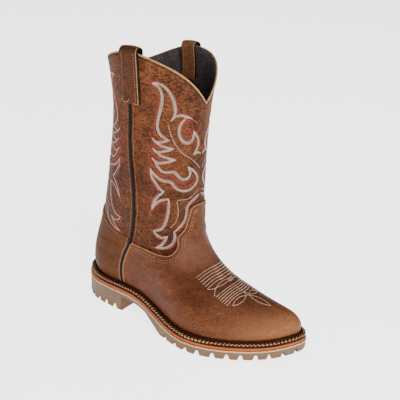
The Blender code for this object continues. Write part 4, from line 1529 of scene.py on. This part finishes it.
# %% Collar rows
def collar_loop(mesh):
    """The skin's points and normals round the collar, in order, with the first again at the end."""
    shape = bmesh.new()
    shape.from_mesh(mesh)
    shape.normal_update()
    rim = [edge for edge in shape.edges if edge.is_boundary and edge.verts[0].co.z > COLLAR_FROM]
    first = rim[0].verts[0]
    loop = [first]
    edge = rim[0]
    while True:
        vert = edge.other_vert(loop[-1])
        loop.append(vert)
        if vert is first:
            break
        edge = next(other for other in vert.link_edges if other.is_boundary and other is not edge)
    found = [(vert.co.copy(), vert.normal.copy()) for vert in loop]
    shape.free()
    return found


RIM_RADIUS = 1.0
RIM_INSET = 0.7
COLLAR_ROW = 2.8
LINING_ROW = 5.2
# length, gap and width of a stitch
COLLAR_STITCH = (2.1, 0.6, 0.9)
LINING_STITCH = (2.3, 0.9, 0.9)
collar = collar_loop(skin)
rim_path = [place - normal * RIM_INSET * MM for place, normal in collar]
bead("collar_raw_edge", rim_path, RIM_RADIUS, TAN_EDGE)
below = towards(collar, (0, 0, -1))
collar_sewing = Sewing()
collar_sewing.row(collar, *COLLAR_STITCH, below * COLLAR_ROW, skin_tree)
collar_sewing.piece("collar_stitching", BROWN_THREAD, "upper_leather")
lining_sewing = Sewing()
inside_collar = [(place - normal * LEATHER * MM, -normal) for place, normal in collar]
lining_sewing.row(inside_collar, *LINING_STITCH, -below * LINING_ROW)
lining_sewing.piece("lining_stitching", GREY_THREAD, "upper_leather")

# %% Strap rows
STRAP_INSET = 3.0
STRAP_ENDS = (0.002, 0.004)
STRAP_ROW_STEP = 0.003
FOOT_LIFT = 0.3
FOOT_STEP = 1.0
# length, gap and width of a stitch
STRAP_STITCH = (1.6, 1.2, 0.9)
FOOT_STITCH = (1.9, 0.1, 1.3)
STRAP_FOOT = (
    # picture points of the thread ends under the outer strap
    ((122.3, 97.2), (123.6, 100.6), (126.4, 101.6), (128.6, 100.8), (129.2, 98.4)),
    ((133.6, 103.4), (135.6, 104.2), (138.0, 104.4)),
)


def strap_rows(name, side):
    """Paths along the two edges of a strap's leather, on its outer face and on its inner leg."""
    mesh = strap_meshes[name]
    tree = tree_of(mesh)
    heights = [vert.co.z for vert in mesh.vertices]
    low, high = min(heights) + STRAP_ENDS[0], max(heights) - STRAP_ENDS[1]
    rows = []
    for front, inset in ((True, -STRAP_INSET - TAPE_STRIP), (False, STRAP_INSET)):
        slope, edge = strap_lines[name][front]
        for start, way in ((OUTSIDE * side, -side), (0.0, side)):
            path = []
            for height in np.arange(low, high, STRAP_ROW_STEP):
                begin = Vector((slope * height + edge + inset * MM, start, height))
                place, normal, _, _ = tree.ray_cast(begin, Vector((0, way, 0)))
                if place is not None:
                    path.append((place, normal))
            rows.append(path)
    return [path for path in rows if len(path) > SHORTEST]


straps = Sewing()
for side, name in SIDES:
    for path in strap_rows(name, side):
        straps.row(path, *STRAP_STITCH)
foot_tree = tree_of(upper.data, strap_meshes["outer"])
for pixels in STRAP_FOOT:
    path = []
    for place in seen(foot_tree, smooth_path(pixels, FOOT_STEP)):
        normal = foot_tree.find_nearest(place)[1]
        path.append((place + normal * FOOT_LIFT * MM, normal))
    straps.row(path, *FOOT_STITCH)
straps.piece("strap_stitching", TAN_THREAD, "strap_leather")

# %% [markdown]
# ## Welt stitching
#
# Two rows hold the welt: a cream lockstitch near its edge, and gold stitches that lean up to the foot
# of the raised rib. Both follow the sole's outline, moved inwards, and drop onto the welt. The rib
# itself stays dark: its leather is dark, and darker still as painted shade.

# %% Welt rows
CREAM_INSET = 1.4
GOLD_INSET = 3.3
GOLD_LEAN = 1.1
# length, gap and width of a stitch
CREAM_STITCH = (3.5, 0.9, 1.7)
GOLD_STITCH = (3.9, 0.7, 1.8)
OVER_WELT = 60.0
welt_tree = tree_of(bpy.data.objects["welt_piece"].data)


def welt_path(inset):
    """The welt's points and normals at a distance inside the sole's edge."""
    spots = [boot(station, side, OVER_WELT) for station, side in sole_edge - outward * inset]
    path = [welt_tree.ray_cast(spot, DOWN)[:2] for spot in spots]
    path = [spot for spot in path if spot[0] is not None]
    return [*path, path[0]]


cream = Sewing()
cream.row(welt_path(CREAM_INSET), *CREAM_STITCH)
cream.piece("welt_stitching", CREAM_THREAD, "welt_leather")
gold = Sewing()
length, gap, width = GOLD_STITCH
for start, end, normal, across in evenly(welt_path(GOLD_INSET), length, gap):
    lean = across * GOLD_LEAN * MM
    gold.stitch(start - lean, end + lean, normal, width)
gold.piece("rib_stitching", GOLD_THREAD, "welt_leather")

# %% [markdown]
# ## Stage
#
# The boot stands on a plain white floor that glows a little, as a light table does, so the ground
# stays bright between the lugs and no hard shadow falls. A lamp ahead of the boot lights the leather,
# a much weaker one from the left rounds the shaft, and a large one hangs overhead.

# %% Floor and lights
FLOOR_REACH = 40.0
FLOOR_GLOW = 2.9
WORLD_GLOW = 0.12
LAMPS = (
    # name, place, target, size, watts
    ("overhead", (0.0, 0.3, 2.2), (0.0, 0.0, 0.0), 2.6, 30.0),
    ("front", (1.5, -1.0, 0.85), (0.0, 0.0, 0.12), 1.0, 44.0),
    ("left", (-1.2, -1.3, 0.9), (0.0, 0.0, 0.12), 1.0, 3.0),
)
floor_shape = bmesh.new()
bmesh.ops.create_grid(floor_shape, x_segments=1, y_segments=1, size=FLOOR_REACH)
floor_mesh = mesh_of(floor_shape, "floor")
floor = in_scene("floor", floor_mesh)
paper = Finish("paper", Base_Color=(0.9, 0.9, 0.9, 1.0), Roughness=0.9, Specular_IOR_Level=0.1)
paper.set(Emission_Color=(1.0, 1.0, 1.0), Emission_Strength=FLOOR_GLOW)
floor_mesh.materials.append(paper.material)

world = bpy.data.worlds.new("studio")
world.use_nodes = True
world.node_tree.nodes["Background"].inputs["Color"].default_value = (1.0, 1.0, 1.0, 1.0)
world.node_tree.nodes["Background"].inputs["Strength"].default_value = WORLD_GLOW
bpy.context.scene.world = world

for name, place, target, size, watts in LAMPS:
    data = bpy.data.lights.new(name, "AREA")
    data.shape = "SQUARE"
    data.size = size
    data.energy = watts
    lamp = in_scene(name, data)
    lamp.location = place
    lamp.rotation_mode = "QUATERNION"
    lamp.rotation_quaternion = (Vector(target) - Vector(place)).to_track_quat("-Z", "Y")
print("stage set")
